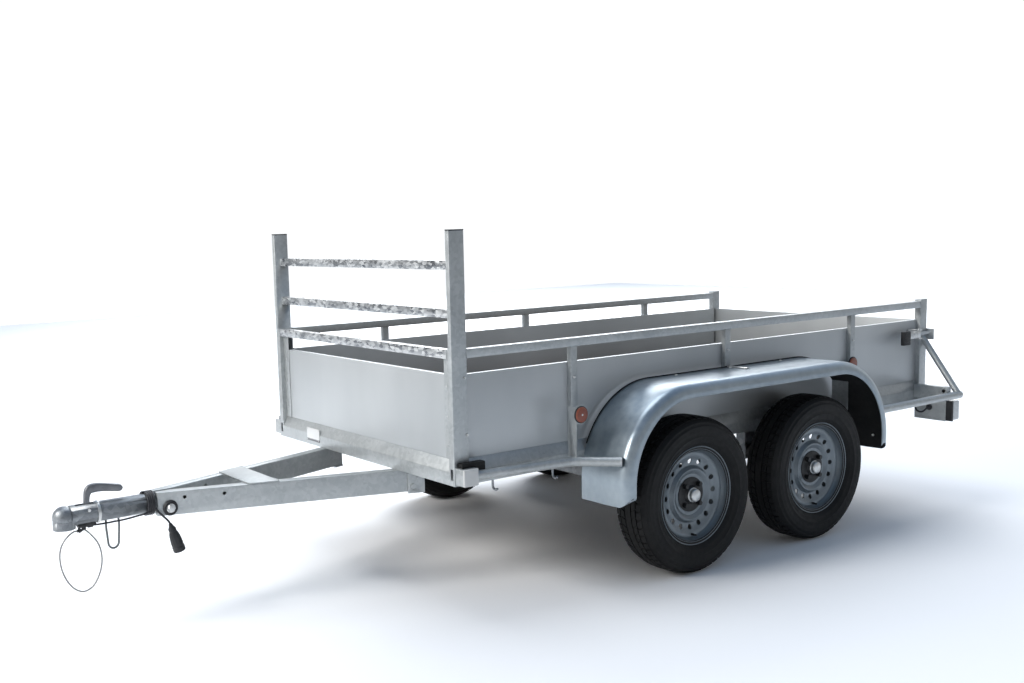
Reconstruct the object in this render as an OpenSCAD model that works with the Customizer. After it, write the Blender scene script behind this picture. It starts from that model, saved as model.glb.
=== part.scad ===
// Tandem-axle box trailer with a ladder rack: open bed, hollow metal boards,
// V drawbar with ball coupling, four swing-arm wheels and a drop tailgate.
// +X points to the drawbar, +Y to the left side, +Z up. Stations along the
// body are measured from the front faces of the ladder posts.

/* [Body] */
// Length of the body over its corner posts
body_l = 2680; // [2400:10:3300]
// Width of the body over its corner posts
body_w = 1250; // [1050:10:1500]
// Height of the undersides of the sills above the ground
sill_z = 433; // [425:1:520]
// Height of a sill
sill_h = 84; // [75:1:110]
// Sheet thickness of the sills
sill_t = 3; // [2:0.5:4]
// Height of the boards
board_h = 281; // [220:1:400]
// Skin thickness of the hollow boards
board_t = 1.5; // [1:0.5:3]
// Thickness of a board and of the tailgate
board_d = 18; // [15:1:24]
// Thickness of the floor panel
floor_t = 12; // [9:1:20]

/* [Ladder rack] */
// Height of the ladder posts above the ground
ladder_top = 1267; // [1150:1:1500]
// Depth of a ladder post along the body
ladder_post_d = 60; // [50:1:70]
// Side of the square rail and bar tube
rail_s = 30; // [25:1:35]
// Wall of the square tubes
tube_t = 2; // [1.5:0.5:3]

/* [Wheels] */
// Outer diameter of a tyre
tyre_d = 577; // [540:1:600]
// Width of a tyre
tyre_w = 157; // [135:1:165]
// Distance between the axles
axle_gap = 698; // [650:1:800]
// Distance from the wheel centre to the side of the body
wheel_out = 132; // [130:1:150]
// Pitch circle of the wheel bolts
bolt_pcd = 100; // [98:1:112]
// Length of a swing arm, pivot to spindle, along the ground
arm_reach = 140; // [120:1:160]

/* [Drawbar] */
// Distance from the front of the body to the nose of the coupling
drawbar_reach = 1125; // [900:5:1500]
// Width of a drawbar beam
beam_w = 40; // [35:1:50]
// Height of a drawbar beam
beam_h = 80; // [60:1:90]
// Diameter of the coupling's tube
coupling_d = 66; // [60:1:76]
// Diameter of the tow ball that the coupling takes
ball_d = 50; // [49:0.5:51]

/* [Rear] */
// Outreach of a lamp bracket from the side of the body
lamp_out = 160; // [120:5:185]
// Thickness of a tail lamp with its lens
lamp_t = 69; // [65:1:80]

/* [Hidden] */

// Colours
zinc = [0.62, 0.65, 0.66];
zinc_dark = [0.45, 0.48, 0.50];
sheet = [0.72, 0.74, 0.75];
black = [0.06, 0.06, 0.07];
ply = [0.32, 0.21, 0.14];
amber = [0.80, 0.25, 0.05];
red = [0.70, 0.05, 0.05];

// Clearances
run = 0.05;    // radial running fit of pins and shafts
gap = 0.3;     // between parts that move past each other

half_w = body_w / 2;
sill_top = sill_z + sill_h;
sill_web = 45;
board_inset = 20;
sill_flange = 50;
board_y = half_w - board_inset;
board_top = sill_top + board_h;
post_w = 30;
rear_post_d = 50;
rear_post_x = -body_l + rear_post_d;
side_l = -rear_post_x - ladder_post_d;   // between a ladder post and a rear post
rail_lift = 55;
rail_z = board_top + rail_lift;
rail_top = rail_z + rail_s;
floor_top = sill_top + floor_t;

wheel_r = tyre_d / 2;
axle_mid = -1285;
axle_x = [axle_mid + axle_gap / 2, axle_mid - axle_gap / 2];
wheel_y = half_w + wheel_out;

lamp_front = -body_l + 59;
lens_rear = lamp_front - lamp_t;
front_x = (-lens_rear - drawbar_reach) / 2;

// The trailer's own frame has its origin on the ground under its middle
module on_frame() translate([front_x, 0, 0]) children();
module both_sides() { children(); mirror([0, 1, 0]) children(); }

module along_y(pos, r, len)
    translate(pos) rotate([-90, 0, 0]) cylinder(r = r, h = len, $fn = 48);
module along_x(pos, r, len)
    translate(pos) rotate([0, 90, 0]) cylinder(r = r, h = len, $fn = 48);

// A square tube from a corner, its hollow along one axis
module tube_box(pos, size, axis, wall) {
    inner = [for (i = [0:2]) i == axis ? size[i] + 2 : size[i] - 2 * wall];
    shift = [for (i = [0:2]) i == axis ? -1 : wall];
    translate(pos) difference() {
        cube(size);
        translate(shift) cube(inner);
    }
}

// Sections drawn in (y, z) and run along X, or drawn in (x, z) and run along Y
module run_x(x, len) translate([x, 0, 0]) rotate([90, 0, 90]) linear_extrude(len) children();
module run_y(y, len) translate([0, y + len, 0]) rotate([90, 0, 0]) linear_extrude(len) children();

// ---------------------------------------------------------------- sills
// Section of a sill, outer face at 0, flanges inward: web, slanted shoulder
module sill_section() {
    t = sill_t;
    polygon([
        [0, 0], [0, sill_web], [board_inset, sill_h], [sill_flange, sill_h],
        [sill_flange, sill_h - t], [board_inset + t / 2, sill_h - t],
        [t, sill_web - t / 2], [t, t], [sill_flange, t], [sill_flange, 0]
    ]);
}
module side_sills() color(zinc) on_frame() both_sides()
    run_x(rear_post_x, side_l) translate([half_w, sill_z]) mirror([1, 0]) sill_section();
module front_sill() color(zinc) on_frame()
    run_y(-(half_w - post_w), body_w - 2 * post_w) translate([0, sill_z]) mirror([1, 0]) sill_section();
module rear_sill() color(zinc) on_frame()
    run_y(-(half_w - post_w), body_w - 2 * post_w) translate([-body_l, sill_z]) sill_section();

cross_n = 5;
cross_w = 60;
cross_step = (body_l - 420) / (cross_n - 1);
module cross_members() color(zinc_dark) on_frame()
    for (i = [0 : cross_n - 1])
        tube_box([-240 - i * cross_step - cross_w / 2, -(half_w - sill_flange), sill_z + sill_t],
                 [cross_w, body_w - 2 * sill_flange, sill_h - sill_t], 1, 3);

channel_t = 3;
channel_w = 40;
gate_x = -body_l + 20;           // rear face of the closed tailgate
gate_front = gate_x + board_d;
module floor_panel() color(ply) on_frame()
    translate([gate_front + 2, -(board_y - board_d), sill_top])
        cube([-(gate_front + 2) - board_inset - board_d - channel_t,
              2 * (board_y - board_d), floor_t]);

// ---------------------------------------------------------------- boards
module side_boards() color(sheet) on_frame() both_sides()
    tube_box([rear_post_x, board_y - board_d, sill_top], [side_l, board_d, board_h], 0, board_t);

front_board_w = 2 * (half_w - post_w - channel_t);
module front_board() color(sheet) on_frame()
    tube_box([-board_inset - board_d, -front_board_w / 2, sill_top],
             [board_d, front_board_w, board_h], 1, board_t);

module front_channels() color(zinc) on_frame() both_sides() difference() {
    translate([-board_inset - board_d - channel_t, half_w - post_w - channel_w, sill_top])
        cube([board_d + 2 * channel_t, channel_w, rail_z - sill_top]);
    translate([-board_inset - board_d, half_w - post_w - channel_w - 1, sill_top - 1])
        cube([board_d, channel_w + 1 - channel_t, rail_z - sill_top + 2]);
}

// ---------------------------------------------------------------- ladder rack
ladder_w = 20;                    // width of a ladder post above the rails
slot_w = 16;
slot_h = 36;
module ladder_posts() color(zinc) on_frame() both_sides() difference() {
    union() {
        tube_box([-ladder_post_d, half_w - post_w, sill_z],
                 [ladder_post_d, post_w, rail_top - sill_z], 2, 2.5);
        translate([-ladder_post_d, half_w - post_w, rail_top - 3]) cube([ladder_post_d, post_w, 3]);
        tube_box([-ladder_post_d, half_w - ladder_w, rail_top],
                 [ladder_post_d, ladder_w, ladder_top - rail_top], 2, 2.5);
    }
    translate([-5, half_w - post_w / 2 - slot_w / 2, sill_z + 20]) cube([10, slot_w, slot_h]);
}
cap_t = 4;
module post_caps() color(black) on_frame() both_sides() {
    translate([-ladder_post_d, half_w - ladder_w, ladder_top]) cube([ladder_post_d, ladder_w, cap_t]);
    translate([-ladder_post_d + 2.5, half_w - ladder_w + 2.5, ladder_top - 12])
        cube([ladder_post_d - 5, ladder_w - 5, 12]);
}
bar_set_back = 25;
bar_z = [983, 1141];
module ladder_bars() color(zinc_dark) on_frame() {
    for (z = bar_z)
        tube_box([-bar_set_back - rail_s, -(half_w - ladder_w), z],
                 [rail_s, body_w - 2 * ladder_w, rail_s], 1, tube_t);
    tube_box([-rail_s, -(half_w - post_w), rail_z], [rail_s, body_w - 2 * post_w, rail_s], 1, tube_t);
}

// ---------------------------------------------------------------- side rails
module side_rails() color(zinc) on_frame() both_sides()
    tube_box([rear_post_x, half_w - rail_s, rail_z], [side_l, rail_s, rail_s], 0, tube_t);

rail_post_x = [-525, -1325, -2125];
rail_post_w = 30;
fender_top = 705;
module rail_posts() color(zinc) on_frame() both_sides()
    for (i = [0:2]) {
        foot = i == 1 ? fender_top : sill_top;
        tube_box([rail_post_x[i] - rail_post_w / 2, board_y, foot],
                 [rail_post_w, board_inset, rail_z - foot], 2, tube_t);
    }
module rear_posts() color(zinc) on_frame() both_sides() {
    tube_box([-body_l, half_w - post_w, sill_z], [rear_post_d, post_w, rail_top + 6 - sill_z], 2, 2.5);
    translate([-body_l, half_w - post_w, rail_top + 6]) cube([rear_post_d, post_w, 3]);
}

// ---------------------------------------------------------------- drawbar
beam_nose = drawbar_reach - 335;  // station of the beams' front ends
beam_nose_y = 33;                 // outer face of a beam at its front end
beam_root = -90;
beam_slope = 0.3165;              // spread of a beam per unit of length
beam_a = atan(beam_slope);
beam_z = sill_z - beam_h;
shank_t = 16;
// The left beam as a solid bar, cut to the nose and root stations
module beam_bar(w, lift, h) intersection() {
    translate([beam_nose, beam_nose_y, beam_z + lift]) rotate([0, 0, 180 - beam_a])
        translate([-100, 0, 0]) cube([(beam_nose - beam_root) / cos(beam_a) + 300, w, h]);
    translate([beam_root, shank_t / 2 + gap, beam_z - 1])
        cube([beam_nose - beam_root, half_w, beam_h + 2]);
}
module drawbar_beams() color(zinc) on_frame() both_sides() difference() {
    beam_bar(beam_w, 0, beam_h);
    translate([beam_nose, beam_nose_y, beam_z + 3]) rotate([0, 0, 180 - beam_a])
        translate([40, 3, 0]) cube([(beam_nose - beam_root) / cos(beam_a), beam_w - 6, beam_h - 6]);
    bolt_hole();
    for (s = [beam_nose - 85, beam_nose - 210])
        along_y([s, 0, sill_z - 22], 6, half_w);
}
cross_bolt = [beam_nose - 38, -80, sill_z - 54];
module bolt_hole() along_y(cross_bolt, 7 + run, 160);

gusset_x = 400;
gusset_l = 100;
// Outer face of a beam at a station
function beam_y(x) = beam_nose_y + (beam_nose - x) * beam_slope;
module drawbar_gusset() color(zinc) on_frame() let (back = gusset_x, ahead = gusset_x + gusset_l)
    translate([0, 0, sill_z]) linear_extrude(4) polygon([
        [back, -beam_y(back)], [ahead, -beam_y(ahead)], [ahead, beam_y(ahead)], [back, beam_y(back)]]);
module drawbar_clamps() color(zinc) on_frame() both_sides()
    translate([beam_root, beam_nose_y + (beam_nose - beam_root) * beam_slope, 0])
        rotate([0, 0, -beam_a]) {
            translate([0, 0, beam_z - 6]) cube([62, 6, beam_h + 6]);
            translate([12, -beam_w / cos(beam_a), beam_z - 6]) cube([44, beam_w / cos(beam_a) + 1, 6]);
            along_y([20, 5, beam_z + 50], 9, 8);
            along_y([44, 5, beam_z + 20], 9, 8);
        }

// ---------------------------------------------------------------- coupling
coupling_z = sill_z - 36;
ball_x = drawbar_reach - 36;
ball_z = coupling_z - 12;
head_r = 36;
tube_r = coupling_d / 2;
tube_in = tube_r - 6;
tube_rear = beam_nose + 2;
pivot = [drawbar_reach - 110, 0, coupling_z + 14];
handle_t = 20;
pin_r = 5;
bore_end = ball_x - 20;
module coupling_body() color(zinc_dark) on_frame() difference() {
    union() {
        along_x([tube_rear, 0, coupling_z], tube_r, ball_x - tube_rear - 20);
        translate([ball_x, 0, coupling_z - 2]) sphere(head_r, $fn = 64);
        translate([ball_x, 0, ball_z - 28]) cylinder(r = head_r - 1, h = 26, $fn = 64);
        translate([ball_x - 34, -head_r + 6, ball_z - 8]) cube([34, 2 * head_r - 12, 20]);
        translate([beam_nose - 80, -shank_t / 2, coupling_z - 30]) cube([90, shank_t, 60]);
    }
    along_x([tube_rear + 12, 0, coupling_z], tube_in, bore_end - tube_rear - 12);
    translate([ball_x, 0, ball_z]) sphere(ball_d / 2 + 0.3, $fn = 64);
    translate([ball_x, 0, ball_z - 40]) cylinder(r = ball_d / 2 + 0.3, h = 40, $fn = 64);
    translate([pivot[0] - 22, -handle_t / 2 - gap, coupling_z]) cube([60, handle_t + 2 * gap, 50]);
    along_y([pivot[0], -50, pivot[2]], pin_r, 100);
    bolt_hole();
}
ring_r = 19;
module coupling_bolts() color("silver") on_frame() {
    along_y([cross_bolt[0], -62, cross_bolt[2]], 7, 124);
    both_sides() translate([cross_bolt[0], 54, cross_bolt[2]]) rotate([-90, 0, 0])
        cylinder(r = 13, h = 9, $fn = 6);
    both_sides() difference() {
        along_y([cross_bolt[0], beam_nose_y - 2, cross_bolt[2]], ring_r, 54 - beam_nose_y + 2);
        beam_bar(beam_w, 0, beam_h);
        along_y([cross_bolt[0], 0, cross_bolt[2]], 7 + run, 80);
    }
    pin_half = sqrt(tube_r * tube_r - (pivot[2] - coupling_z) * (pivot[2] - coupling_z)) + 2;
    along_y([pivot[0], -pin_half, pivot[2]], pin_r, 2 * pin_half);
}
// The lever seen from the side: neck up from the pivot, grip back over the tube
module handle_outline() difference() {
    union() {
        circle(r = 12, $fn = 48);
        polygon([
            [-10, 0], [10, 0], [9, 44], [5, 63], [-6, 77], [-21, 82], [-63, 77], [-109, 66],
            [-109, 42], [-93, 43], [-66, 49], [-46, 49], [-32, 45], [-20, 37], [-12, 25]
        ]);
        translate([-109, 54]) circle(r = 12, $fn = 48);
    }
    circle(r = pin_r + run, $fn = 48);
}
module coupling_handle() color(zinc_dark) on_frame()
    translate([pivot[0], handle_t / 2, pivot[2]]) rotate([90, 0, 0])
        linear_extrude(handle_t) handle_outline();
jaw_travel = 8;
module coupling_jaw() color(zinc_dark) on_frame() difference() {
    intersection() {
        along_x([ball_x - 66, 0, coupling_z], tube_in - gap, 45.5);
        translate([ball_x - 66, -16, coupling_z - 40]) cube([60, 32, 39]);
    }
    translate([ball_x, 0, ball_z]) sphere(ball_d / 2 + 1, $fn = 64);
}
bail_wire = 3.5;
bail_x = drawbar_reach - 191;
bail_half = 21;
module safety_bail() color(zinc_dark) on_frame() {
    low = coupling_z - tube_r - 78;
    for (s = [-1, 1])
        translate([bail_x + s * bail_half, 0, low]) cylinder(r = bail_wire, h = 78, $fn = 32);
    translate([bail_x, 0, low]) rotate([90, 0, 0]) rotate([0, 0, 180])
        rotate_extrude(angle = 180, $fn = 64) translate([bail_half, 0]) circle(r = bail_wire, $fn = 32);
}
eye_x = ball_x - 47;
eye_z = coupling_z - tube_r - 17;
module cable_bracket() color(black) on_frame() {
    translate([eye_x - 42, -12, coupling_z - tube_r - 6]) cube([50, 24, 6]);
    translate([eye_x - 6, -3, eye_z + 6]) cube([12, 6, 8]);
    translate([eye_x, 0, eye_z]) rotate([0, 90, 0])
        rotate_extrude($fn = 48) translate([9, 0]) circle(r = 2.5, $fn = 24);
    along_x([eye_x - 8, 0, eye_z - 4], 4, 16);
}

// ---------------------------------------------------------------- cords
// A tube of n sides swept along points; each ring faces the mean direction
function unit(v) = v / norm(v);
function tangent(p, i) = i == 0 ? unit(p[1] - p[0]) : i == len(p) - 1 ? unit(p[i] - p[i - 1])
    : unit(unit(p[i + 1] - p[i]) + unit(p[i] - p[i - 1]));
function ring(p, i, r, n, side) = let (t = tangent(p, i), a = unit(cross(side, t)), b = cross(t, a))
    [for (k = [0 : n - 1]) p[i] + r * (cos(360 * k / n) * a + sin(360 * k / n) * b)];
module swept(p, r, n, side) polyhedron(
    points = [for (i = [0 : len(p) - 1]) each ring(p, i, r, n, side)],
    faces = concat(
        [[for (k = [0 : n - 1]) k]],
        [for (i = [0 : len(p) - 2]) for (k = [0 : n - 1])
            [i * n + k, (i + 1) * n + k, (i + 1) * n + (k + 1) % n, i * n + (k + 1) % n]],
        [[for (k = [n - 1 : -1 : 0]) (len(p) - 1) * n + k]]));

// Breakaway cable: a loop of wire rope from the eye and back, chosen by hand,
// measured from the eye
loop_route = [
    [8, 0, -4], [18, 0, -4], [34, 0, -13], [50, 0, -28], [61, 0, -46], [67, 0, -68], [68, 0, -92],
    [65, 0, -117], [58, 0, -142], [47, 0, -166], [33, 0, -186], [16, 0, -200], [-2, 0, -206],
    [-20, 0, -202], [-36, 0, -190], [-49, 0, -171], [-59, 0, -148], [-65, 0, -122], [-66, 0, -96],
    [-62, 0, -71], [-53, 0, -48], [-40, 0, -29], [-28, 0, -14], [-17, 0, -4], [-8, 0, -4]
];
loop_r = 2.75;
module breakaway_cable() color("dimgray") on_frame()
    translate([eye_x, 0, eye_z]) swept(loop_route, loop_r, 8, [0, 1, 0]);

// Lighting cord: a short drop from the coil on the tube to the plug,
// measured from the point where it leaves the coil
drop_route = [
    [0, 0, 0], [-3, 5, -8], [-8, 9, -16], [-15, 12, -24], [-23, 13, -33],
    [-31, 13, -42], [-38, 12, -51], [-43, 11, -61]
];
drop_r = 3.5;
coil_x = tube_rear + 19;
coil_wire = 4.5;
coil_r = tube_r + coil_wire + gap;
drop_at = [coil_x - 12, 38, coupling_z - 12];
plug_top = drop_at + [-43, 11, -61];
plug_lean = 16;
module plug_cord() color(black) on_frame() translate(drop_at) swept(drop_route, drop_r, 8, [0, 1, 0]);
module plug() color(black) on_frame() translate(plug_top) rotate([0, plug_lean, 0]) rotate([180, 0, 0]) {
    cylinder(r1 = 7, r2 = 12, h = 14, $fn = 48);
    translate([0, 0, 14]) cylinder(r = 13, h = 12, $fn = 48);
    translate([0, 0, 26]) cylinder(r1 = 14, r2 = 20, h = 52, $fn = 48);
    translate([0, 0, 78]) cylinder(r = 21, h = 20, $fn = 48);
}
lead_route = [
    [0, 33, -24], [14, 32, -26], [32, 30, -29], [52, 26, -32], [74, 20, -36], [98, 15, -39],
    [126, 12, -40], [147, 11, -41], [169, 6, -42], [191, 3, -42]
];
module cable_bundle() color(black) on_frame() {
    for (i = [-1.5 : 1.5]) translate([coil_x + i * 1.8 * coil_wire, 0, coupling_z]) rotate([0, 90, 0])
        rotate_extrude($fn = 64) translate([coil_r, 0]) circle(r = coil_wire, $fn = 32);
    translate([coil_x, 0, coupling_z]) swept(lead_route, 3, 8, [0, 1, 0]);
    translate([eye_x - 44, -6, coupling_z - tube_r - 15]) cube([18, 12, 9]);
}

// ---------------------------------------------------------------- corners and stays
stub_out = 50;
stub_h = 56;
stub_z = 440;
module corner_stubs() color(zinc) on_frame() both_sides() {
    tube_box([-ladder_post_d, half_w, stub_z], [ladder_post_d - 2, stub_out - 6, stub_h], 1, 3);
    translate([-ladder_post_d, half_w + stub_out - 6, stub_z]) cube([ladder_post_d - 2, 6, stub_h]);
}
stay_r = 16.5;
stay_z = 468;
fender_r = 330;
fender_out = 225;                 // how far a fender stands out from the body
fender_cx = [-884, -1735];        // stations of the corner arcs' centres
fender_cz = fender_top - fender_r;
fender_t = 2;
stay_a = [-ladder_post_d, half_w + 30];
stay_b = [-440, half_w + 78];
stay_out = 150;                   // length of the leg after the bend
stay_wall = 2.5;
stay_bend = 60;                   // radius of the bend
stay_turn = 37;
stay_first = 7.2;                 // heading of the front leg, outward from the body
bend_cut = stay_bend * tan(stay_turn / 2);
// A round tube from the origin along +X
module tube_x(len) rotate([0, 90, 0]) linear_extrude(len) difference() {
    circle(r = stay_r, $fn = 48);
    circle(r = stay_r - stay_wall, $fn = 48);
}
module front_stay() difference() {
    leg = norm(stay_b - stay_a) - bend_cut;
    translate([stay_a[0], stay_a[1], stay_z]) mirror([1, 0, 0]) rotate([0, 0, stay_first]) {
        translate([-5, 0, 0]) tube_x(leg + 5);
        translate([leg, stay_bend, 0]) rotate([0, 0, -90])
            rotate_extrude(angle = stay_turn, $fn = 96) translate([stay_bend, 0]) difference() {
                circle(r = stay_r, $fn = 48);
                circle(r = stay_r - stay_wall, $fn = 48);
            }
        translate([leg, 0, 0]) translate([stay_bend * sin(stay_turn), stay_bend * (1 - cos(stay_turn)), 0])
            rotate([0, 0, stay_turn]) tube_x(stay_out);
    }
    along_y([fender_cx[0], half_w, fender_cz], fender_r, fender_out);
    translate([-ladder_post_d - 20, half_w - 20, stay_z - 30]) cube([30, 20, 60]);
    translate([-ladder_post_d, half_w, stub_z]) cube([ladder_post_d, stub_out, stub_h]);
}
bracket_x = -450;
bracket_y = half_w + 53;
bracket_w = 42;
reflector_z = 630;
reflector_r = 30;
lamp_stay_y = half_w + 172;
brace_x = -body_l + rear_post_d / 2;
rear_stay_l = fender_cx[1] - fender_r + 25 - brace_x + 18;
module stay_tubes() color(zinc) on_frame() both_sides() {
    front_stay();
    translate([bracket_x, bracket_y, stay_z + 15]) cube([3, bracket_w, reflector_z + 26 - stay_z - 15]);
    translate([bracket_x - 36, bracket_y + bracket_w - 3, reflector_z - 32]) cube([36, 3, 64]);
    difference() {
        translate([brace_x - 18, lamp_stay_y, stay_z]) tube_x(rear_stay_l);
        along_y([fender_cx[1], half_w, fender_cz], fender_r, fender_out);
    }
}
module side_reflectors() color(amber) on_frame() both_sides() {
    along_y([bracket_x - 18, bracket_y + bracket_w, reflector_z], reflector_r, 4);
    along_y([bracket_x - 18, bracket_y + bracket_w + 4, reflector_z], reflector_r - 4, 5);
    along_y([rail_post_x[2], half_w, reflector_z + 14], reflector_r, 4);
    along_y([rail_post_x[2], half_w + 4, reflector_z + 14], reflector_r - 4, 5);
}
hook_x = [-165, -430];
module rope_hooks() color(zinc_dark) on_frame() both_sides() for (x = hook_x) {
    translate([x, half_w - 12, sill_z - 20]) cylinder(r = 4, h = 20, $fn = 32);
    translate([x, half_w + 2, sill_z - 20]) rotate([90, 0, 90]) rotate([0, 0, 180])
        rotate_extrude(angle = 150, $fn = 48) translate([14, 0]) circle(r = 4, $fn = 32);
}

// ---------------------------------------------------------------- fenders
fender_foot = 305;
lip_h = 50;
shoulder_r = 34;
// Section across the fender: [radius, distance out]; skin, round shoulder, lip
module fender_section(inner) {
    steps = 6;
    outer_arc = [for (i = [0 : steps]) let (a = 90 * i / steps)
        [fender_r - shoulder_r + shoulder_r * cos(a), fender_out - shoulder_r + shoulder_r * sin(a)]];
    inner_r = shoulder_r - fender_t;
    inner_arc = [for (i = [steps : -1 : 0]) let (a = 90 * i / steps)
        [fender_r - shoulder_r + inner_r * cos(a), fender_out - shoulder_r + inner_r * sin(a)]];
    polygon(concat([[fender_r, inner]], outer_arc,
        [[fender_r - lip_h, fender_out], [fender_r - lip_h, fender_out - fender_t]],
        inner_arc, [[fender_r - fender_t, inner]]));
}
module fender() difference() {
    union() {
        for (s = [0, 1]) translate([fender_cx[s], half_w, 0]) mirror([s, 0, 0]) {
            translate([0, 0, fender_cz]) mirror([0, 1, 0]) rotate([90, 0, 0])
                rotate_extrude(angle = 90, $fn = 96) fender_section(-board_inset);
            translate([0, 0, fender_foot])
                linear_extrude(fender_cz - fender_foot) fender_section(-board_inset);
        }
        run_x(fender_cx[1], fender_cx[0] - fender_cx[1])
            translate([half_w, fender_cz]) mirror([1, -1]) fender_section(-board_inset);
    }
    translate([-body_l, half_w - board_inset - 1, 0]) cube([body_l, board_inset + 1, sill_top + 1]);
}
module fender_left() color(zinc) on_frame() fender();
module fender_right() color(zinc) on_frame() mirror([0, 1, 0]) fender();

// ---------------------------------------------------------------- suspension
pivot_rise = 56;                  // swing-arm pivot above the wheel centre
axle_s = 60;
axle_wall = 5;
axle_z = wheel_r + pivot_rise;
axle_half = half_w - 25;
arm_t = 24;
arm_y = axle_half + 2;
shaft_r = 18;
bush_l = 60;
spindle_r = 15;
module axle_beam(x) {
    tube_box([x - axle_s / 2, -axle_half, axle_z - axle_s / 2], [axle_s, 2 * axle_half, axle_s], 1, axle_wall);
    both_sides() difference() {
        translate([x - axle_s / 2 + axle_wall, axle_half - bush_l, axle_z - axle_s / 2 + axle_wall])
            cube([axle_s - 2 * axle_wall, bush_l, axle_s - 2 * axle_wall]);
        along_y([x, axle_half - bush_l - 1, axle_z], shaft_r + run, bush_l + 2);
    }
    both_sides() difference() {
        translate([x - 60, half_w - sill_flange, axle_z + axle_s / 2])
            cube([120, sill_flange - 4, sill_z - axle_z - axle_s / 2]);
        translate([x - 54, half_w - sill_flange + 6, axle_z + axle_s / 2 - 1])
            cube([108, sill_flange, sill_z - axle_z - axle_s / 2 - 5]);
    }
}
module axle_beams() color(zinc_dark) on_frame() for (x = axle_x) axle_beam(x + arm_reach);

hub_face = wheel_y + 30;
hub_in = half_w + 65;
// Side outline of an arm, measured from its pivot
module arm_outline() {
    circle(r = 32, $fn = 64);
    translate([-arm_reach, -pivot_rise]) circle(r = 30, $fn = 64);
    rotate([0, 0, 180 + atan2(pivot_rise, arm_reach)])
        translate([0, -22]) square([norm([arm_reach, pivot_rise]), 44]);
}
module swing_arm(x) {
    px = x + arm_reach;
    translate([px, arm_y + arm_t, axle_z]) rotate([90, 0, 0]) linear_extrude(arm_t) arm_outline();
    along_y([px, axle_half - bush_l + 2, axle_z], shaft_r, arm_y - axle_half + bush_l - 2);
    along_y([x, arm_y + arm_t, wheel_r], 22, hub_in - 2 - arm_y - arm_t);
    along_y([x, hub_in - 2, wheel_r], spindle_r, hub_face - 12 - hub_in);
}
module arm_front_left() color(black) on_frame() swing_arm(axle_x[0]);
module arm_rear_left() color(black) on_frame() swing_arm(axle_x[1]);
module arm_front_right() color(black) on_frame() mirror([0, 1, 0]) swing_arm(axle_x[0]);
module arm_rear_right() color(black) on_frame() mirror([0, 1, 0]) swing_arm(axle_x[1]);

// ---------------------------------------------------------------- wheels
// Turned shapes: profile points are [radius, distance out from the wheel centre]
module turned(pos) translate(pos) rotate([-90, 0, 0]) rotate_extrude($fn = 128) children();
seat_r = 165;
flange_r = 182;
rim_half = 62;
disc_face = 30;
vent_n = 16;
vent_r = 10;
vent_circle = 121;
bore_r = 29;
module rim_profile() {
    polygon([
        [flange_r, -rim_half], [flange_r, -rim_half + 4], [seat_r, -rim_half + 6], [seat_r, -34],
        [150, -26], [150, 18], [seat_r, 34], [seat_r, rim_half - 6], [flange_r, rim_half - 4],
        [flange_r, rim_half], [seat_r - 3, rim_half - 3], [seat_r - 3, 36], [147, 21],
        [147, -29], [seat_r - 3, -37], [seat_r - 3, -rim_half + 3]
    ]);
    polygon([
        [bore_r, disc_face], [66, disc_face], [78, disc_face + 9], [92, disc_face + 13], [104, disc_face + 5],
        [136, disc_face - 4], [147.5, disc_face - 13], [147.5, disc_face - 9], [137, disc_face],
        [105, disc_face + 9], [92, disc_face + 17], [77, disc_face + 13], [65, disc_face + 4],
        [bore_r, disc_face + 4]
    ]);
}
module rim(x) difference() {
    turned([x, wheel_y, wheel_r]) rim_profile();
    for (i = [0 : vent_n - 1]) {
        a = 360 * (i + 0.5) / vent_n;
        along_y([x + vent_circle * cos(a), wheel_y + disc_face - 20, wheel_r + vent_circle * sin(a)], vent_r, 50);
    }
    for (i = [0:3]) {
        a = 90 * i + 45;
        along_y([x + bolt_pcd / 2 * cos(a), wheel_y + disc_face - 5, wheel_r + bolt_pcd / 2 * sin(a)], 6.5, 20);
    }
}
module rim_front_left() color(zinc_dark) on_frame() rim(axle_x[0]);
module rim_rear_left() color(zinc_dark) on_frame() rim(axle_x[1]);
module rim_front_right() color(zinc_dark) on_frame() mirror([0, 1, 0]) rim(axle_x[0]);
module rim_rear_right() color(zinc_dark) on_frame() mirror([0, 1, 0]) rim(axle_x[1]);

module tyre_profile() {
    r = wheel_r;
    w = tyre_w / 2;
    bead = seat_r + gap;
    side = flange_r + 2;
    polygon([
        [bead, -rim_half + 7], [side, -rim_half + 4], [side + 10, -rim_half - 8], [r - 62, -w],
        [r - 40, -w + 1], [r - 14, -w + 12], [r - 4, -w + 22], [r, -w + 40],
        [r, w - 40], [r - 4, w - 22], [r - 14, w - 12], [r - 40, w - 1],
        [r - 62, w], [side + 10, rim_half + 8], [side, rim_half - 4], [bead, rim_half - 7],
        [bead, rim_half - 19], [side + 4, rim_half - 10], [r - 60, w - 9], [r - 24, w - 14],
        [r - 13, w - 36], [r - 13, -w + 36], [r - 24, -w + 14], [r - 60, -w + 9],
        [side + 4, -rim_half + 10], [bead, -rim_half + 19]
    ]);
}
module tyre(x) turned([x, wheel_y, wheel_r]) tyre_profile();
module tyre_front_left() color(black) on_frame() tyre(axle_x[0]);
module tyre_rear_left() color(black) on_frame() tyre(axle_x[1]);
module tyre_front_right() color(black) on_frame() mirror([0, 1, 0]) tyre(axle_x[0]);
module tyre_rear_right() color(black) on_frame() mirror([0, 1, 0]) tyre(axle_x[1]);

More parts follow.
